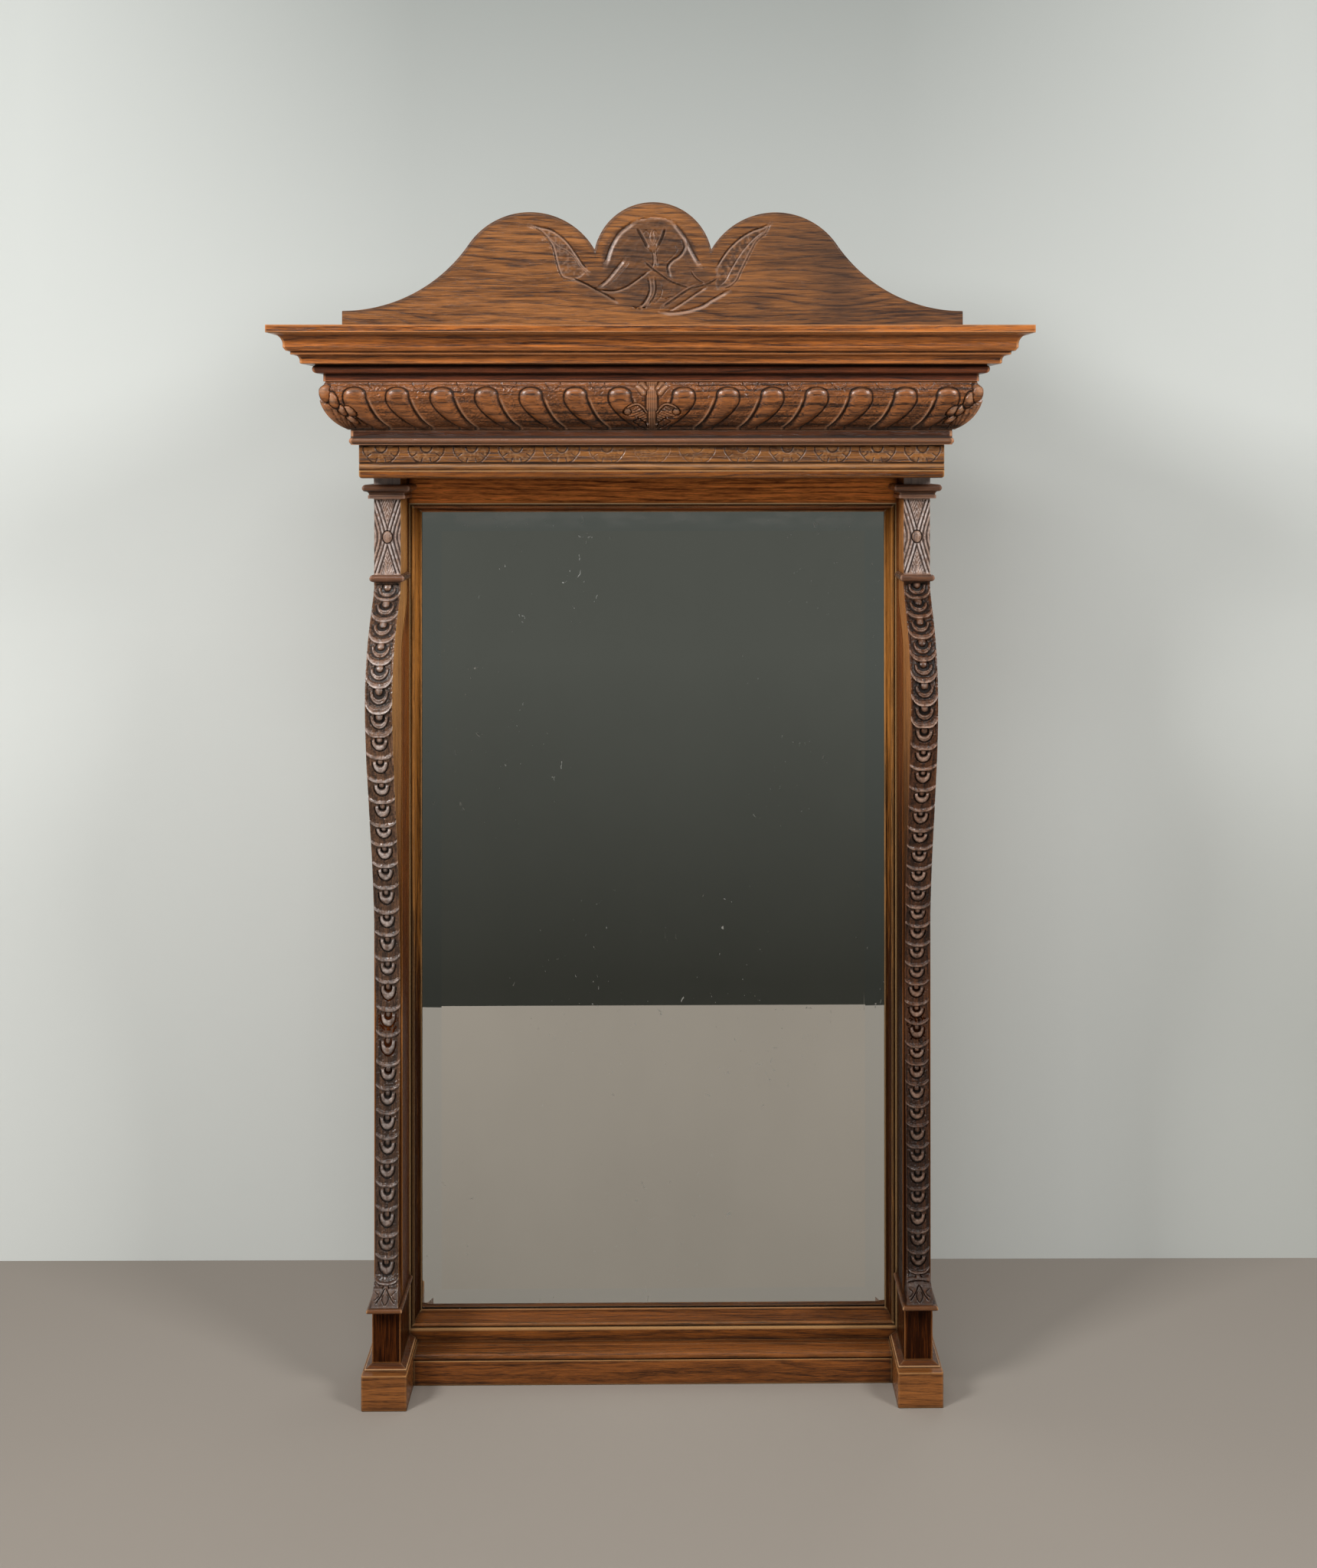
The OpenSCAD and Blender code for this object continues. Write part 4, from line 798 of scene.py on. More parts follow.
def carve_palmette(depth, shine, x, s):
    """The middle leaf: a ribbed stem, two little upper petals and two side lobes that curl down."""
    a = np.abs(x)
    stem_half, rib = 7.7, 2.55
    stem = smooth(a, stem_half - 0.1, stem_half - 1.5)
    wave = np.cos(a / rib * 2 * math.pi)
    depth[:] = depth * (1 - stem) + stem * (0.35 + (0.5 - 0.5 * wave))
    depth[:] = np.where(np.abs(a - stem_half) < 1.1, np.maximum(depth, 3.7), depth)
    # painted highlights on the stem's ribs, then on the petals, the leaf's crest and its curl
    shine[:] = np.maximum(shine, stem * (0.5 + 0.5 * wave))
    for line, r in (([(9, 63), (12, 70)], 4.6), ([(17, 66), (10, 56)], 3.6)):
        gap = along_line(a, s, line)[0]
        made = np.where(gap < r, 0.6 + 2.4 * (gap / r) ** 2, 0)
        depth[:] = np.where(gap < r, made, np.where(gap < r + 1.0, np.maximum(depth, 3.5), depth))
        shine[:] = np.maximum(shine, np.where(gap < r, 1 - (gap / r) ** 2, 0) * 0.8)
    upper = curve_through([(5.7, 31.8), (11.3, 39.8), (17, 43), (22.6, 42), (29, 39), (33, 35)])
    tip = curve_through([(33, 35), (34.5, 30.5), (31, 26.5), (24.5, 25), (17, 23.5), (9.4, 17.2),
                         (6, 12)])
    inside, gap = within(a, s, np.vstack([upper, tip[1:]]))
    crest = along_line(a, s, upper)[0]
    curl, curl_r, curl_rim = np.hypot(a - 29.5, s - 31.5), 4.2, 5.4
    body = 1.5 + 0.7 * bumps(a, s, 1.5, 61) + 0.5 * np.sin((a * 0.5 + s) * 1.6)
    body = np.where(crest < 1.8, 0.3 + 0.3 * crest, np.where(crest < 3.4, 3.3, body))
    body = np.where(curl < curl_rim, np.maximum(body, 3.2), body)
    body = np.where(curl < curl_r, 0.4 + 0.09 * curl ** 2, body)
    depth[:] = np.where(inside, body, np.where(gap < 1.3, np.maximum(depth, 3.6), depth))
    lit = np.maximum(np.exp(-(crest / 1.3) ** 2), 0.6 * np.clip(1 - curl / curl_r, 0, 1))
    shine[:] = np.where(inside, np.maximum(lit, 0.35 * (body < 1.6)), shine)
    low_leaf, low_gap = within(a, s, curve_through([(6, 3), (9, 14), (16, 20), (22, 17), (17, 11),
                                                    (10, 4), (6, 3)]))
    low_body = 1.2 + 0.5 * np.sin((a * 0.6 + s) * 1.7) + 0.4 * bumps(a, s, 1.5, 62)
    beyond = np.where(low_gap < 1.2, np.maximum(depth, 3.6), depth)
    depth[:] = np.where(low_leaf, low_body, beyond)


def carve_corner_leaf(depth, shine, across, s):
    """Leaf that wraps a mitred corner; across is the distance from the mitre."""
    edge = np.interp(s, [0, 15, 32, 45, 58, 66], [8, 17, 24, 17, 8, 0])
    inside, on_mitre = across < edge, across < 2.0
    ribs = 0.5 + 0.5 * np.cos(np.arctan2(across, s + 4.0) * 31.0)
    made = 1.0 + 1.5 * ribs + 1.2 * (across / np.maximum(edge, 1)) ** 3
    made = made + 0.4 * bumps(across, s, 1.6, 71)
    made = np.where(on_mitre, 0.3 + 0.5 * across, made)
    rim = (across >= edge) & (across < edge + 1.6) & (s < 52)
    depth[:] = np.where(inside, made, np.where(rim, np.maximum(depth, 4.7), depth))
    shine[:] = np.where(inside, 0.3 * (1 - ribs) + 0.4 * on_mitre, shine)
    uneven = 0.25 * bumps(across, s, 1.6, 72)
    cut = 4.6 * smooth(across, 1.0, 3.5)    # the tips' grooves fade before the mitre
    for middle, height, half_width, half_height in LEAF_TIPS:
        dx, dy = (across - middle) / half_width, (s - height) / half_height
        away = np.hypot(dx, dy)
        groove = np.where(away < 1 + 1.5 / half_width, np.maximum(depth, cut), depth)
        depth[:] = np.where(away < 1, 0.3 + 2.4 * away ** 2.4 + uneven, groove)
        # painted highlight on each tip, set toward its upper side
        shine[:] = np.where(away < 1, np.clip(1 - 1.2 * np.hypot(dx, dy - 0.3), 0, 1), shine)


def gadroon_carving(x, s, heads, to_mitre, palmette=False):
    """Depth and shine of the ground, lobes, darts and leaves at X (or depth) x and profile
    length s. heads: the lobes' places and leans; to_mitre: distance from the mitre."""
    ground = 2.9 + 0.6 * bumps(x, s, 1.6, 3) + 0.3 * bumps(x, s, 5.0, 4)
    depth = ground * (1 - 0.45 * smooth(s, PROFILE_LENGTH - 3.5, PROFILE_LENGTH - 1.0))
    shine = np.zeros(x.shape)
    for head, lean in heads:
        carve_lobe(depth, shine, x, s, head, lean)
    ordered = sorted(head for head, _ in heads)
    for a, b in zip(ordered[:-1], ordered[1:]):
        if abs(b - a - LOBE_PITCH) < 6:
            carve_darts(depth, x, s, (a + b) / 2)
    if palmette:
        carve_palmette(depth, shine, x, s)
    depth = np.where(s < 1.2, np.maximum(depth, 2.6), depth)
    carve_corner_leaf(depth, shine, to_mitre, s)
    return depth, shine


def shape_gadroons(piece, x, face, s, v, depth, shine):
    """Places the moulding's sheet, with dirt and painted shade in its grooves, painted shade toward
    its foot, and its shine as painted highlight.
    """
    _, h, _, up = gadroon_profile(s)
    z = GADROON_BASE + h - depth * up * smooth(v, 1.0, 0.9) * smooth(v, -1.0, -0.96)
    dirt_and_shade = np.maximum(0.95 * smooth(depth, 2.5, 4.3), 0.48 * smooth(s, 26, 3))
    shape_sheet(piece, x, face, z, dirt_and_shade, 0.8 * shine)


def make_gadroon_front():
    piece, u, v = fine_sheet("gadroon_carving", 960, 92)
    s = (v + 1) / 2 * PROFILE_LENGTH
    p, _, out, _ = gadroon_profile(s)
    x = u * (FRIEZE_X + p)
    places = [LOBE_FIRST + LOBE_PITCH * k for k in range(6)]
    last = LOBE_FIRST + LOBE_PITCH * 6 - 2      # beside the corner leaf, a little nearer
    heads = [(side * place, -side) for side in (LEFT, RIGHT) for place in places]
    heads += [(LEFT * last, RIGHT), (RIGHT * last, LEFT)]
    depth, shine = gadroon_carving(x, s, heads, (FRIEZE_X + p) - np.abs(x), palmette=True)
    x = x - np.sign(u) * smooth(np.abs(u), 0.95, 1.0) * depth * out
    shape_gadroons(piece, x, FRIEZE_FACE + p - depth * out, s, v, depth, shine)
    close_back(piece, lambda x, y: (np.sign(x) * np.minimum(np.abs(x), FRIEZE_X * MM),
                                    WALL_Y - FRIEZE_FACE * MM))
    settle(piece, "oak_carved", OAK_CARVED, "gadroon_front")


def make_gadroon_return(side, name, node):
    """One side run; its sheet runs from the back plane to the mitre."""
    piece, u, v = fine_sheet(name, 260, 92)
    s = (v + 1) / 2 * PROFILE_LENGTH
    p, _, out, _ = gadroon_profile(s)
    share = (u + 1) / 2
    run = share * (FRIEZE_FACE + p)
    first = FRIEZE_FACE - 15.0      # the lobe beside the corner leaf
    heads = [(first - LOBE_PITCH * k, -1) for k in range(4)]
    depth, shine = gadroon_carving(run, s, heads, (FRIEZE_FACE + p) - run)
    face = run - smooth(share, 0.9, 1.0) * depth * out
    shape_gadroons(piece, side * (FRIEZE_X + p - depth * out), face, s, v, depth, shine)
    close_back(piece, lambda x, y: (side * FRIEZE_X * MM,
                                    np.maximum(y, WALL_Y - FRIEZE_FACE * MM)))
    settle(piece, "oak_carved", OAK_CARVED_RETURN, node)


# ---------------------------------------------------------------- frieze fans

FRIEZE_BASE, FRIEZE_SEEN, FRIEZE_TOP, FRIEZE_BACK = 1156.5, 1188.0, 1320.5, 150.0
FAN_PITCH, FAN_HALF, FAN_DEEP = 55.3, 22.5, 21.5


def hoop(dx, dz, half_width, half_height, middle, width):
    """1 on an oval line and 0 beyond its width; middle over 1 makes the line broader."""
    return np.clip(middle - np.abs(np.hypot(dx / half_width, dz / half_height) - 1) / width, 0, 1)


def carve_fan(depth, glow, x, z, middle, top, strength):
    """A half rosette that hangs from top: scooped petals round two rings and an eye."""
    reach, petal = 27, 36       # half the width looked at, and the degrees of one petal
    box = (np.abs(x - middle) < reach) & (z > FRIEZE_BASE + 4) & (z < FRIEZE_SEEN)
    bx, bz = x[box], z[box]
    dx, dz = bx - middle, bz - top
    r = np.hypot(dx / FAN_HALF, dz / FAN_DEEP)
    turn = np.degrees(np.arctan2(-dz, dx))
    edge = 0.955 + 0.035 * np.abs(np.cos(np.radians((turn - 90) / petal * 180)))
    rim = np.clip(1.15 - np.abs(r - edge) / 0.048, 0, 1)
    eye = hoop(dx, dz, 6.8, 7.6, 1.2, 0.18)
    between = np.abs((turn - 72) % petal - petal / 2)
    gap = np.radians(petal / 2 - between) * r * FAN_HALF
    spokes = np.where((r > 0.66) & (r < edge), np.clip(1.2 - np.abs(gap), 0, 1), 0)
    ring = 0.45 * hoop(dx, dz + 13.5, 3.0, 2.6, 1, 0.35)
    leaf_ring = 0.6 * hoop(dx, dz + 14.0, 10.5, 6.6, 1, 0.11)
    scoop = (r < edge) * (0.28 + 0.25 * (0.5 + 0.5 * bumps(bx, bz, 2.6, 22)))
    made = np.maximum.reduce([rim * 1.5, eye * 1.5, spokes * 1.4, ring, leaf_ring, scoop])
    depth[box] = np.maximum(depth[box], strength * made * (dz < 0.5))
    fleck = smooth(bumps(bx, bz, 2.2, 23), -0.1, 0.6)
    glow[box] = np.maximum(glow[box], strength * fleck * (r < edge) * (dz < 0.5))


def frieze_carving(x, z):
    """Depth and rubbed places: a bead along the foot and thirteen fans, worn toward the middle."""
    depth, glow = np.zeros(x.shape), np.zeros(x.shape)
    top, line = FRIEZE_SEEN - 2.2, FRIEZE_BASE + 17.4       # two level lines, over and under
    chip(depth, x, z, [(-FRIEZE_X, top), (FRIEZE_X, top)], 1.0, 0.9, 0.9)
    chip(depth, x, z, [(-FRIEZE_X, line), (FRIEZE_X, line)], 0.5, 0.6, 0.6)
    up = z - FRIEZE_BASE
    bead = np.abs(up - 4.1) / 4.3
    depth = np.where(bead < 1, np.maximum(depth, 1.9 * bead ** 3), depth)
    depth = np.where((bead >= 1) & (up < 10.2) & (up > 4), 2.0, depth)
    for k in range(-6, 7):
        strength = (0.42 + 0.58 * min(1.0, abs(k) / 4.5)) * (0.9 if k > 0 else 1.0)
        carve_fan(depth, glow, x, z, k * FAN_PITCH, top, strength)
    return depth, glow


def make_frieze():
    piece, u, v = fine_sheet("frieze_carving", 940, 58)
    x, step = u * FRIEZE_X, (v + 1) / 2
    fine, seen = 54 / 58, FRIEZE_SEEN + 1       # this share of the rows goes to the carved foot
    z = np.where(step < fine, FRIEZE_BASE + step / fine * (seen - FRIEZE_BASE),
                 seen + (step - fine) / (1 - fine) * (FRIEZE_TOP - seen))
    cut, glow = frieze_carving(x, z)
    uneven = 0.15 + 0.12 * bumps(x, z, 9.0, 8)
    depth = FRIEZE_FACE - np.maximum(cut, 0) - uneven * (z < FRIEZE_SEEN)
    up = z - FRIEZE_BASE
    # wax with painted shade in the cuts and in the groove over the bead
    recess = np.maximum(0.8 * smooth(cut, 0.35, 0.95) * (up > 10.4), 0.8 * (np.abs(up - 9.3) < 1.2))
    # rubbed ends, a painted highlight along the bead's crest, and pale flecks in the fans
    wear = np.maximum.reduce([0.6 * smooth(np.abs(x), FRIEZE_X - 1.6, FRIEZE_X - 0.3),
                              0.7 * np.exp(-((up - 5.4) / 1.4) ** 2),
                              0.45 * glow * smooth(cut, 0.8, 0.4)])
    shape_sheet(piece, x, depth, z, recess, wear)
    close_back(piece, lambda x, y: (x, WALL_Y - FRIEZE_BACK * MM))
    settle(piece, "oak_carved", OAK_FRIEZE, "frieze_front")


# ---------------------------------------------------------------- shafts

POST_MID, SHAFT_HALF, SHAFT_LOW_HALF = 330.5, 16.5, 14.25
SHAFT_BASE, RING_Z, BLOCK_FACE = 124.0, 1017.0, 126.0
SHAFT_H = RING_Z - SHAFT_BASE
POST_FACE, POST_TOP_FACE, CURVE_LOW, CURVE_HIGH = 117.0, 66.0, 930.0, 1000.0
# depth of the shaft's face and height; in the middle rows a share of the shaft's height
SHAFT_STATIONS = [(152, 124), (145, 142), (133, 160)] + [
    (depth, SHAFT_BASE + share * SHAFT_H)
    for depth, share in ((132, 0.075), (128, 0.21), (120, 0.4), (139, 0.575), (170, 0.69),
                         (194, 0.776), (202, 0.84), (194, 0.889), (170, 0.936))
] + [(130, 1003), (126, 1017)]
# heights of the lower lips of the scales, from the ring down
LIPS = {
    LEFT: [995, 971, 946.5, 920.5, 893.5, 862, 833, 805.5, 775.5, 748, 718, 692.5, 664.5, 636,
           604.5, 575.5, 543.5, 515, 480, 448, 411.5, 382.5, 353, 322, 293.5, 264, 234.5, 202,
           175.5, 148],
    RIGHT: [996.5, 974, 950, 924, 898.5, 870.5, 843, 815.5, 789.5, 762, 736.5, 709, 685, 659,
            633.5, 609, 584.5, 560, 534, 510.5, 484.5, 460.5, 432.5, 410, 385, 358.5, 334.5,
            308, 281.5, 256.5, 231, 203.5, 178, 155.5]}
SCALE_PITCH = 29.5      # the pitch that the sizes in scale_carving are given for
FIRST_PITCH = 22.0      # of the scale that the ring cuts off


def joint_depth(z):
    """Depth of the joint between post and shaft at a height."""
    t = np.clip((z - CURVE_LOW) / (CURVE_HIGH - CURVE_LOW), 0, 1)
    return POST_FACE + (POST_TOP_FACE - POST_FACE) * (1 - np.cos(np.pi * t)) / 2


def shaft_half(z):
    return np.interp(z, [SHAFT_BASE, 160, SHAFT_BASE + 0.2 * SHAFT_H, SHAFT_BASE + 0.75 * SHAFT_H],
                     [SHAFT_HALF, SHAFT_LOW_HALF, SHAFT_LOW_HALF, SHAFT_HALF])


def scale_carving(x, down, half, ends, z, seed):
    """Overlapping scales, each hanging a bead over a dark hollow and a half-round disc.
    down is the length below the shaft's top and ends are the lengths of the lips. Gives the
    depth, the painted highlights with rubbed places, and the share of dirt with painted shade."""
    upper, deepest = smooth(z, 800, 880), 5.4      # the scales are bolder on the swelling
    place = down + (6.5 + 5.5 * upper) * np.abs(x / half) ** 3.2
    place = place + 0.5 * bumps(x, down, 14.0, seed)
    number = np.clip(np.searchsorted(ends, place), 1, len(ends) - 1)
    start, pitch = ends[number - 1], ends[number] - ends[number - 1]
    size = np.where(pitch < 1, SCALE_PITCH, pitch) / SCALE_PITCH
    jitter = bumps(number * 7.3, number * 3.1, 1.0, seed + 2)
    px = x + 0.6 * bumps(number * 5.7, number * 1.7, 1.0, seed + 5)
    y = (down - start) / size - 4.8 - 0.5 * jitter
    t = (ends[number] - place) / size
    # the scale itself: a lip, a broad band and a border at the shaft's edges
    broad = 3.4 + 3.6 * upper
    rough = bumps(x, down, 1.5, seed + 9) + 0.6 * bumps(x, down, 3.1, seed + 10)
    depth = 0.5 + smooth(t, 1.2, 2.8) * upper + 2.2 * smooth(t, broad - 1.4, broad + 1.6)
    depth += 0.5 * rough * smooth(t, 0.4, 3.0)
    border = smooth(np.abs(x) / half, 0.80, 0.93)
    depth = depth - (1.3 + 0.7 * upper) * border * smooth(t, broad, broad + 3)
    # painted highlights on the lips, the broad band and the border
    shine = (0.6 + 0.4 * upper) * np.exp(-((t - 1.4) / 1.2) ** 2)
    shine = shine + 0.22 * (t < broad) + 0.35 * border * upper
    # the disc with its ring, and a groove round it
    hole_half, knob_r = 4.9 + 2.6 * upper, 3.1 + 1.3 * upper
    hollow = np.hypot(px / hole_half, y / (hole_half + 0.3))
    disc = np.hypot(px / (9.0 + 2.0 * upper), y / (12.8 + 1.2 * upper))
    inner = np.clip((hollow - 1) / (0.14 + 0.14 * upper), 0, 1)
    outer = np.clip((1 - disc) / (0.22 + 0.08 * upper), 0, 1)
    swell = np.sqrt(np.minimum(inner, outer)) * smooth(y, -2.4, 0.2)
    ring = np.exp(-((disc - 0.77) / 0.08) ** 2) * upper
    on_disc = (disc < 1) & (hollow > 1) & (y > -2.4)
    body = 3.2 - 2.8 * swell + 1.4 * ring + 0.4 * rough
    depth = np.where(on_disc, np.minimum(depth, body), depth)
    # painted highlight on the swelling disc
    shine = np.where(on_disc, swell * (1 - 0.8 * ring), shine * (t < broad + 0.5))
    groove = (disc >= 1) & (disc < 1.14) & (y > -1)
    depth = np.where(groove, np.maximum(depth, 4.2), depth)
    # the hollow with its bead
    depth = np.where((hollow < 1) & (y > -4.8), deepest - 0.2, depth)
    bead = np.hypot(px / knob_r, np.maximum(y + 1.2, 0) / knob_r)
    on_bead = (bead < 1) & (y > -5.2)
    depth = np.where(on_bead, 1.0 + 1.4 * bead ** 2 + 0.5 * (y < -3.4), depth)
    shine = np.where(on_bead, 0.6 * (1 - bead) * (y > -3.4), np.where(hollow < 1, 0, shine))
    worn = 0.72 + 0.5 * bumps(x, down, 5.0, seed + 14)
    worn = worn + 0.35 * bumps(x, down, 2.2, seed + 15)
    # painted highlights dim toward the foot, as painted shade
    shine_by_height = smooth(z, 300, 860)
    shine = shine * np.clip(worn, 0.1, 1.4) * np.where(on_disc, 0.5 + 0.5 * shine_by_height,
                                                       0.3 + 0.75 * shine_by_height)
    # dirt with painted shade in the hollows and grooves
    dirt_and_shade = 0.9 * smooth(depth, 2.9, 4.5) + 0.25 * smooth(t, 1.5, 6.0) * smooth(depth, 1.6, 2.6)
    return np.clip(depth, 0, deepest), shine * smooth(depth, 2.8, 1.4), dirt_and_shade


def flare_carving(x, up):
    """Tulip at the shaft's foot; up is the length above the foot."""
    depth = 1.0 + 0.2 * bumps(x, up, 2.2, 31)
    for points, cut in (([(0, 25), (-5, 14), (-12, 4)], 3.2), ([(0, 25), (5, 14), (12, 4)], 3.2),
                        ([(-1, 17), (-4, 10), (0, 3), (4, 10), (1, 17)], 2.6),
                        ([(-14, 20), (-8, 14), (-14, 8)], 2.4), ([(14, 20), (8, 14), (14, 8)], 2.4),
                        ([(-15, 27), (0, 29), (15, 27)], 3.4)):
        chip(depth, x, up, points, cut, steep=1.2, slope=1.2)
    return depth


def bend_sheet(u, columns, side_columns):
    """Splits a sheet's columns into a front (-1 to 1) and two sides, where the share is under 1."""
    w = (u + 1) / 2 * columns
    front = np.clip((w - side_columns) / (columns - 2 * side_columns), 0, 1)
    return front * 2 - 1, np.clip(np.minimum(w, columns - w) / side_columns, 0, 1)


def finish_tube(piece, u, v, side, finish, node):
    """Closes a bent sheet and settles it. The smooth sides and back take the flank finish, a
    painted lit copy on the left and a painted shaded copy on the right; only the carved front keeps
    the carver's."""
    close_tube(piece, u, v)
    settle(piece, "oak_shafts", finish, node)
    mesh = piece.data
    mesh.materials.append(LIT_AND_SHADED_FLANKS[side])
    normals, centres = read(mesh.polygons, "normal"), read(mesh.polygons, "center")
    away, squarely = np.abs(centres[:, 0] / MM - side * POST_MID), 0.9
    flank = (np.abs(normals[:, 0]) > squarely) & (away > SHAFT_LOW_HALF - 0.75)
    smooth_sides = (flank | (normals[:, 1] > squarely)).astype(np.int32)
    mesh.polygons.foreach_set("material_index", smooth_sides)
    mesh.update()


def make_shaft(side, name, node, seed):
    columns, rows = 64, 1350
    piece, u, v = fine_sheet(name, columns, rows)
    # the face's line from foot to top, and its outward direction
    depths, heights = curve_through(SHAFT_STATIONS, 24).T
    lengths = np.concatenate([[0], np.cumsum(np.hypot(np.diff(depths), np.diff(heights)))])
    total = lengths[-1]
    s = (v + 1) / 2 * total
    d, z = np.interp(s, lengths, depths), np.interp(s, lengths, heights)
    dd = np.interp(s + 1, lengths, depths) - np.interp(s - 1, lengths, depths)
    dz = np.interp(s + 1, lengths, heights) - np.interp(s - 1, lengths, heights)
    size = np.hypot(dd, dz) + 1e-9
    front, flank = bend_sheet(u, columns, 4)
    half = shaft_half(z)
    x = front * half
    lips = LIPS[side]
    ends = total - np.interp(np.array(lips, float), heights, lengths)
    ends = np.concatenate([[ends[0] - FIRST_PITCH], ends, [ends[-1] + SCALE_PITCH]])
    scales, shine, dirt_and_shade = scale_carving(x, total - s, half, ends, z, seed)
    flare = flare_carving(x, s)
    foot = smooth(z, lips[-1] - 1, lips[-1] - 4)
    cut = scales * (1 - foot) + flare * foot
    # painted highlights on the flare's ridges, and dirt with painted shade in its cuts
    shine = shine * (1 - foot) + 0.12 * foot * smooth(flare, 1.6, 0.8)
    dirt_and_shade = dirt_and_shade * (1 - foot) + foot * smooth(flare, 1.4, 2.6)
    plain_top, fade = 3.0, 1.5
    cut = np.where(total - s < plain_top, 1.2, cut)
    cut = cut * smooth(s, 0, fade) * smooth(total - s, 0, fade)
    face_d, face_z = d - cut * dz / size, z + cut * dd / size
    on_front = flank >= 1
    back_d, share = joint_depth(z), flank ** 0.6
    depth = np.where(on_front, face_d, back_d + (face_d - back_d) * share)
    height = np.where(on_front, face_z, z + (face_z - z) * share)
    x = np.where(on_front, x, np.sign(x) * half)
    shape_sheet(piece, side * POST_MID + x, depth, height, np.where(on_front, dirt_and_shade, 0.0),
                np.where(on_front, shine, 0.2 * flank))
    finish_tube(piece, u, v, side, SHAFTS[side], node)


# ---------------------------------------------------------------- upper blocks

BLOCK_H, PANEL_LOW, PANEL_MIDDLE, PANEL_HIGH = 130.0, 1026.0, 1073.0, 1121.0


def panel_carving(x, z):
    """Crossed ribs round a boss, with a small leaf above and teeth below."""
    y = z - PANEL_MIDDLE
    a, b = np.abs(x), np.abs(y)
    g = a - 0.33 * np.sqrt(b * b + 70) + 2.4
    ribs = 0.5 - 0.5 * np.cos(2 * math.pi * (g - 0.3) / 4.6)
    arm = np.exp(-((g - 1.2) / 4.6) ** 2)
    leaf = 0.5 + 0.5 * np.cos((a * 1.1 + b * 0.45) * 2.0)
    on_ribs, tooth = g > -4.0, 5.0      # the width of one tooth of the row below
    ribbed = 2.3 - 1.9 * (1 - ribs) * (0.45 + 0.55 * arm) + 0.8 * ribs
    depth = np.where(on_ribs, ribbed, 1.1 + 1.3 * leaf)
    shine = np.where(on_ribs, (1 - ribs) * (0.28 + 0.72 * arm), 0.4 * (1 - leaf))
    teeth = 1.2 + 1.6 * np.abs(((x + 60) % tooth) / (tooth / 2) - 1) * smooth(y, -46, -38)
    depth = np.where((y < -36) & (g < -4.0), teeth, depth)
    boss, boss_rim = np.hypot(x / 5.9, y / 7.4), 1.17
    depth = np.where(boss < boss_rim, 4.2, depth)
    depth = np.where(boss < 1, 0.1 + 2.0 * boss ** 3, depth)
    shine = np.where(boss < 1, 0.12 * (1 - boss ** 2), np.where(boss < boss_rim, 0, shine))
    worn = 0.7 + 0.6 * bumps(x, z, 4.0, 43) + 0.3 * bumps(x, z, 1.8, 44)
    shine = shine * np.clip(worn, 0.15, 1.3)
    depth = depth + 0.28 * bumps(x, z, 1.6, 41)
    border = smooth(np.minimum(z - PANEL_LOW, PANEL_HIGH - z), 0.6, 2.4)
    return np.clip(depth * border + 0.5 * (1 - border), 0, 5), shine * border


def make_panel(side, name, node):
    columns, rows = 76, 250
    piece, u, v = fine_sheet(name, columns, rows)
    z = RING_Z + (v + 1) / 2 * BLOCK_H
    front, flank = bend_sheet(u, columns, 5)
    x = front * SHAFT_HALF
    on_front = flank >= 1
    cut, shine = panel_carving(x, z)
    cut = np.where((z > PANEL_LOW) & (z < PANEL_HIGH), cut, 0.0)
    depth = np.where(on_front, BLOCK_FACE - cut,
                     POST_TOP_FACE + (BLOCK_FACE - cut - POST_TOP_FACE) * flank)
    # wax with painted shade in the deeper cuts
    recess = np.where(on_front, smooth(cut, 1.9, 3.1), 0.0)
    # painted highlights from the carving, and painted light on the neck above the panel
    wear = np.where(on_front, 1.5 * shine + 0.4 * (z > PANEL_HIGH), 0.2 * flank)
    shape_sheet(piece, side * POST_MID + x, depth, z, recess, wear)
    finish_tube(piece, u, v, side, OAK_BLOCK, node)


make_pediment()
make_gadroon_front()
make_gadroon_return(LEFT, "gadroon_carving_left", "gadroon_left")
make_gadroon_return(RIGHT, "gadroon_carving_right", "gadroon_right")
make_frieze()
make_shaft(LEFT, "left_scale_shaft", "left_shaft", 1)
make_shaft(RIGHT, "right_scale_shaft", "right_shaft", 12)
make_panel(LEFT, "left_carved_block", "left_panel_block")
make_panel(RIGHT, "right_carved_block", "right_panel_block")


# ---------------------------------------------------------------- stage, lamps and camera

FLAT = {"Roughness": 0.85, "Specular_IOR_Level": 0.2}


def make_floor_finish():
    material, n, shader = start_material("pale_floor")
    n.feed(shader, Base_Color=paint(161, 152, 142), **FLAT)
    return material


def make_wall_finish():
    """A wall that can be looked through from behind. Its colour carries painted shade: it darkens
    upward behind the mirror's top and toward its lower right corner."""
    material, n, shader = start_material("pale_backdrop")
    across, height, _ = n.xyz(n.place())
    middle = n.span(n.math("ABSOLUTE", across), 0.025, 0.065, 1.0, 0.5)
    above = n.times(n.span(height, -0.385, -0.20), middle)
    corner = n.times(n.span(across, 0.044, 0.076), n.span(height, -0.35, -0.46))
    colour = n.mix(corner, paint(220, 223, 219), paint(188, 190, 184))
    n.feed(shader, Base_Color=n.mix(above, colour, paint(84, 90, 86)), **FLAT)
    both = n.add("MixShader", i0=n.add("NewGeometry").outputs["Backfacing"],
                 i1=shader.outputs[0], i2=n.add("BsdfTransparent").outputs[0])
    n.feed(n.tree.nodes["Material Output"], i0=both.outputs[0])
    return material


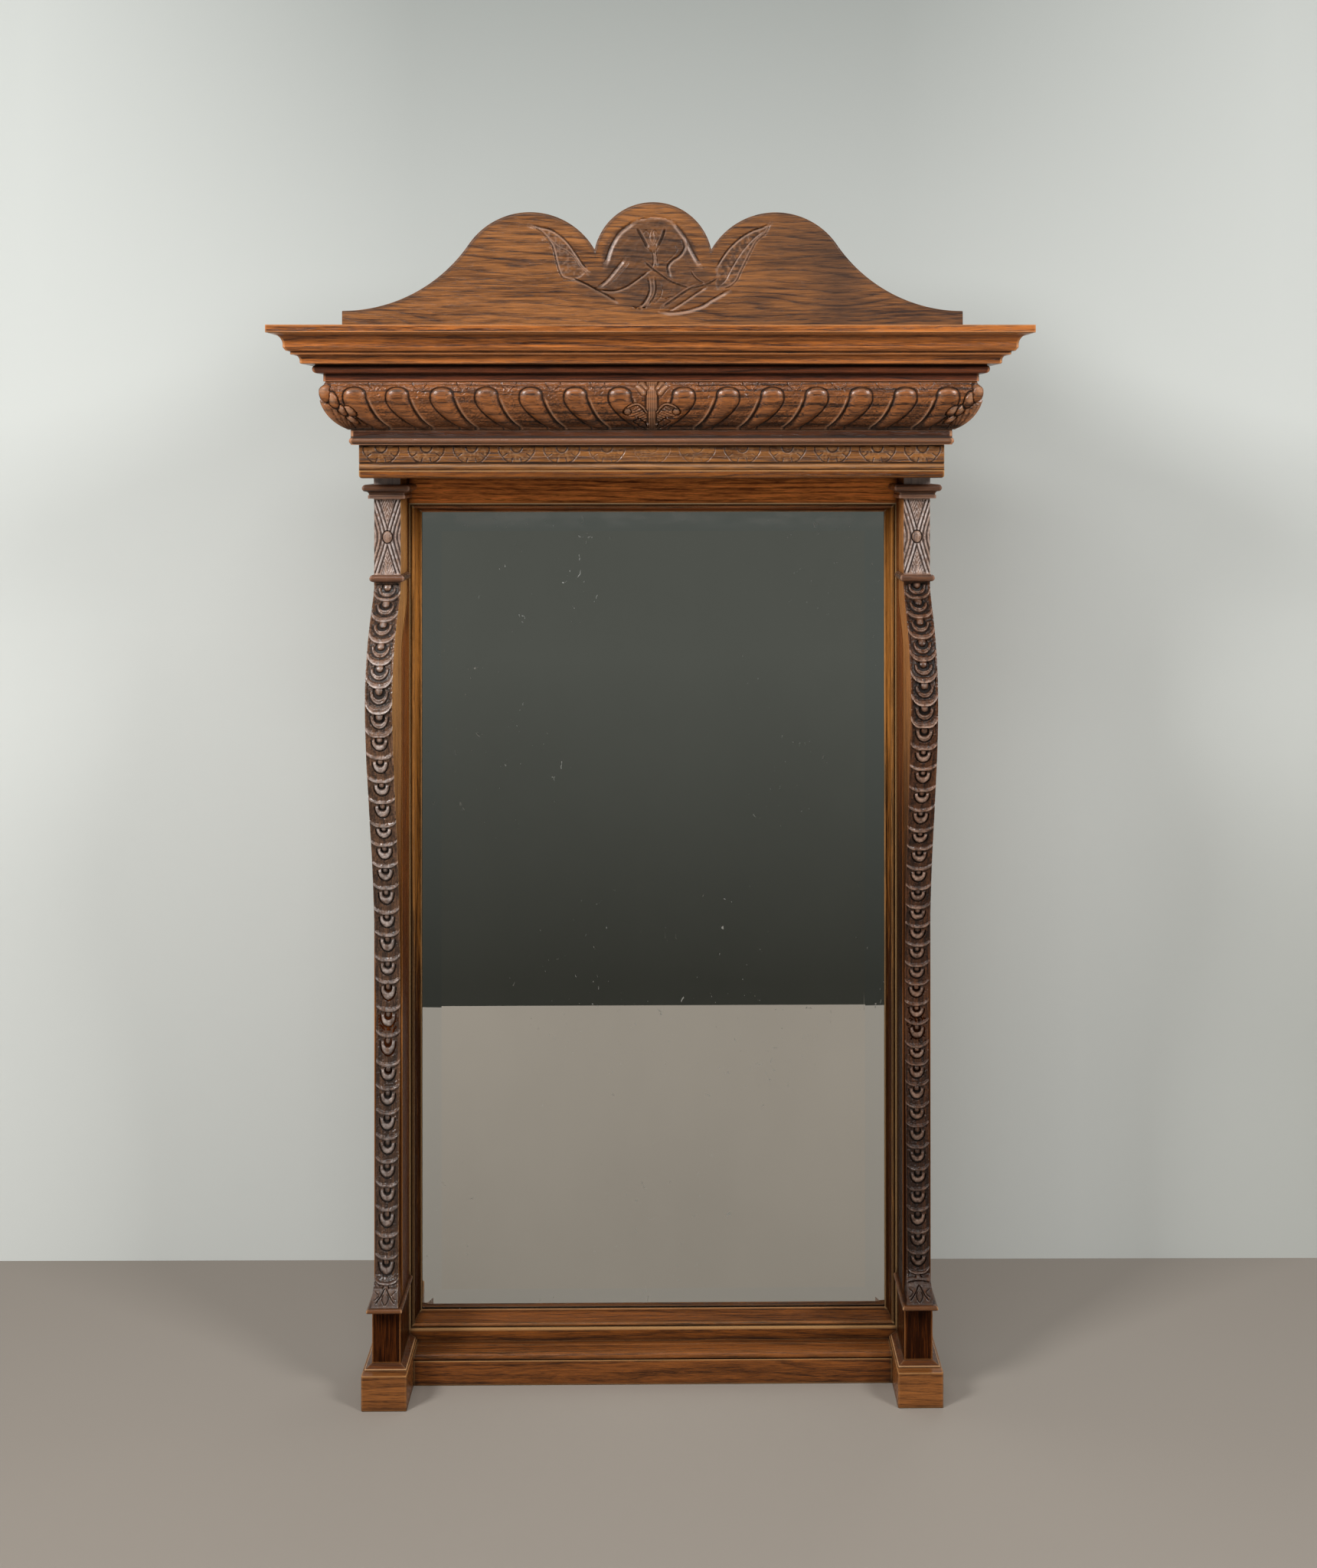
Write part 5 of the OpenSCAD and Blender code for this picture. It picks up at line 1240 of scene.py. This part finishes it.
def make_room_finish():
    """A glowing card seen only in reflections: the painted reflection of a dim room, darker near
    its floor.
    """
    material, n, shader = start_material("dim_room")
    shade = n.span(n.xyz(n.place())[1], 0.49, 0.34)
    n.feed(shader, Base_Color=paint(0, 0, 0), Emission_Strength=1.0,
           Emission_Color=n.mix(shade, paint(46, 47, 42), paint(84, 86, 81)))
    return material


def stage_plane(name, size, location, turn, material, unseen):
    """A stage plane, its turn in degrees, that the named kinds of rays don't meet."""
    deselect()
    bpy.ops.mesh.primitive_plane_add(size=1.0, location=location,
                                     rotation=[math.radians(angle) for angle in turn])
    plane = bpy.context.object
    plane.name = name
    plane.scale = (*size, 1.0)
    plane.data.materials.append(material)
    for kind in unseen:
        setattr(plane, "visible_" + kind, False)


def make_stage():
    stage_plane("floor", (14.0, 14.0), (0.0, -2.0, -0.0005), (0.0, 0.0, 0.0),
                make_floor_finish(), ())
    stage_plane("backdrop", (14.0, 8.0), (0.0, WALL_Y + 0.298, 4.0), (90.0, 0.0, -0.44),
                make_wall_finish(), ("diffuse", "shadow"))
    stage_plane("room_card", (9.0, 4.6), (0.0, -1.526, 2.3), (-90.0, 0.0, 0.0),
                make_room_finish(), ("camera", "diffuse", "shadow", "transmission"))


def softbox(name, location, target, size, power):
    lamp = bpy.data.lights.new(name, "AREA")
    lamp.shape = "RECTANGLE"
    lamp.size, lamp.size_y = size
    lamp.energy = power
    lamp.cycles.use_multiple_importance_sampling = False
    holder = bpy.data.objects.new(name, lamp)
    bpy.context.scene.collection.objects.link(holder)
    holder.location = location
    aim = Vector(target) - Vector(location)
    holder.rotation_euler = aim.to_track_quat("-Z", "Y").to_euler()
    return holder


def make_lamps():
    softbox("left_softbox", (-2.0, -2.0, 2.3), (0.0, 0.1, 0.9), (0.8, 1.0), 66.0)
    softbox("right_softbox", (2.0, -2.0, 2.3), (0.0, 0.1, 0.9), (0.8, 1.0), 46.0)
    softbox("top_softbox", (-0.3, -1.9, 2.8), (0.0, 0.1, 1.3), (1.4, 0.4), 16.0)
    fill = softbox("front_softbox", (0.0, -2.9, 0.9), (0.0, 0.1, 0.9), (1.6, 1.2), 6.0)
    fill.visible_glossy = False
    softbox("back_softbox", (0.6, 2.4, 2.2), (0.0, 0.1, 0.7), (2.0, 1.4), 14.0)


def make_world():
    """A pale room: dim as light, dimmer still in reflections, and plain to the camera."""
    world = bpy.data.worlds.new("pale_room")
    bpy.context.scene.world = world
    world.use_nodes = True
    world.node_tree.nodes.clear()
    n = Nodes(world.node_tree)
    path = n.add("LightPath").outputs
    strength = n.minus(0.30, n.times(path["Is Glossy Ray"], 0.24))
    lit = n.add("Background", Color=paint(200, 202, 200), Strength=strength)
    seen = n.add("Background", Color=paint(196, 199, 195), Strength=1.0)
    both = n.add("MixShader", i0=path["Is Camera Ray"], i1=lit.outputs[0], i2=seen.outputs[0])
    n.add("OutputWorld", i0=both.outputs[0])


def make_camera():
    """The photograph's view, a little right of the mirror's middle and level with its frieze."""
    lens = bpy.data.cameras.new("camera")
    lens.sensor_width = 36.0
    lens.lens = 46.17
    lens.shift_x, lens.shift_y = -0.0242, -0.2193
    camera = bpy.data.objects.new("camera", lens)
    bpy.context.scene.collection.objects.link(camera)
    pitch, roll, yaw = math.radians(0.09), math.radians(-0.03), math.radians(-0.70)
    look = (Matrix.Rotation(yaw, 4, "Z") @ Matrix.Rotation(math.radians(90) + pitch, 4, "X")
            @ Matrix.Rotation(roll, 4, "Z"))
    camera.matrix_world = Matrix.Translation((0.0242, -2.5023, 1.1897)) @ look
    bpy.context.scene.camera = camera


make_stage()
make_lamps()
make_world()
make_camera()
bpy.context.scene.view_settings.view_transform = "Standard"
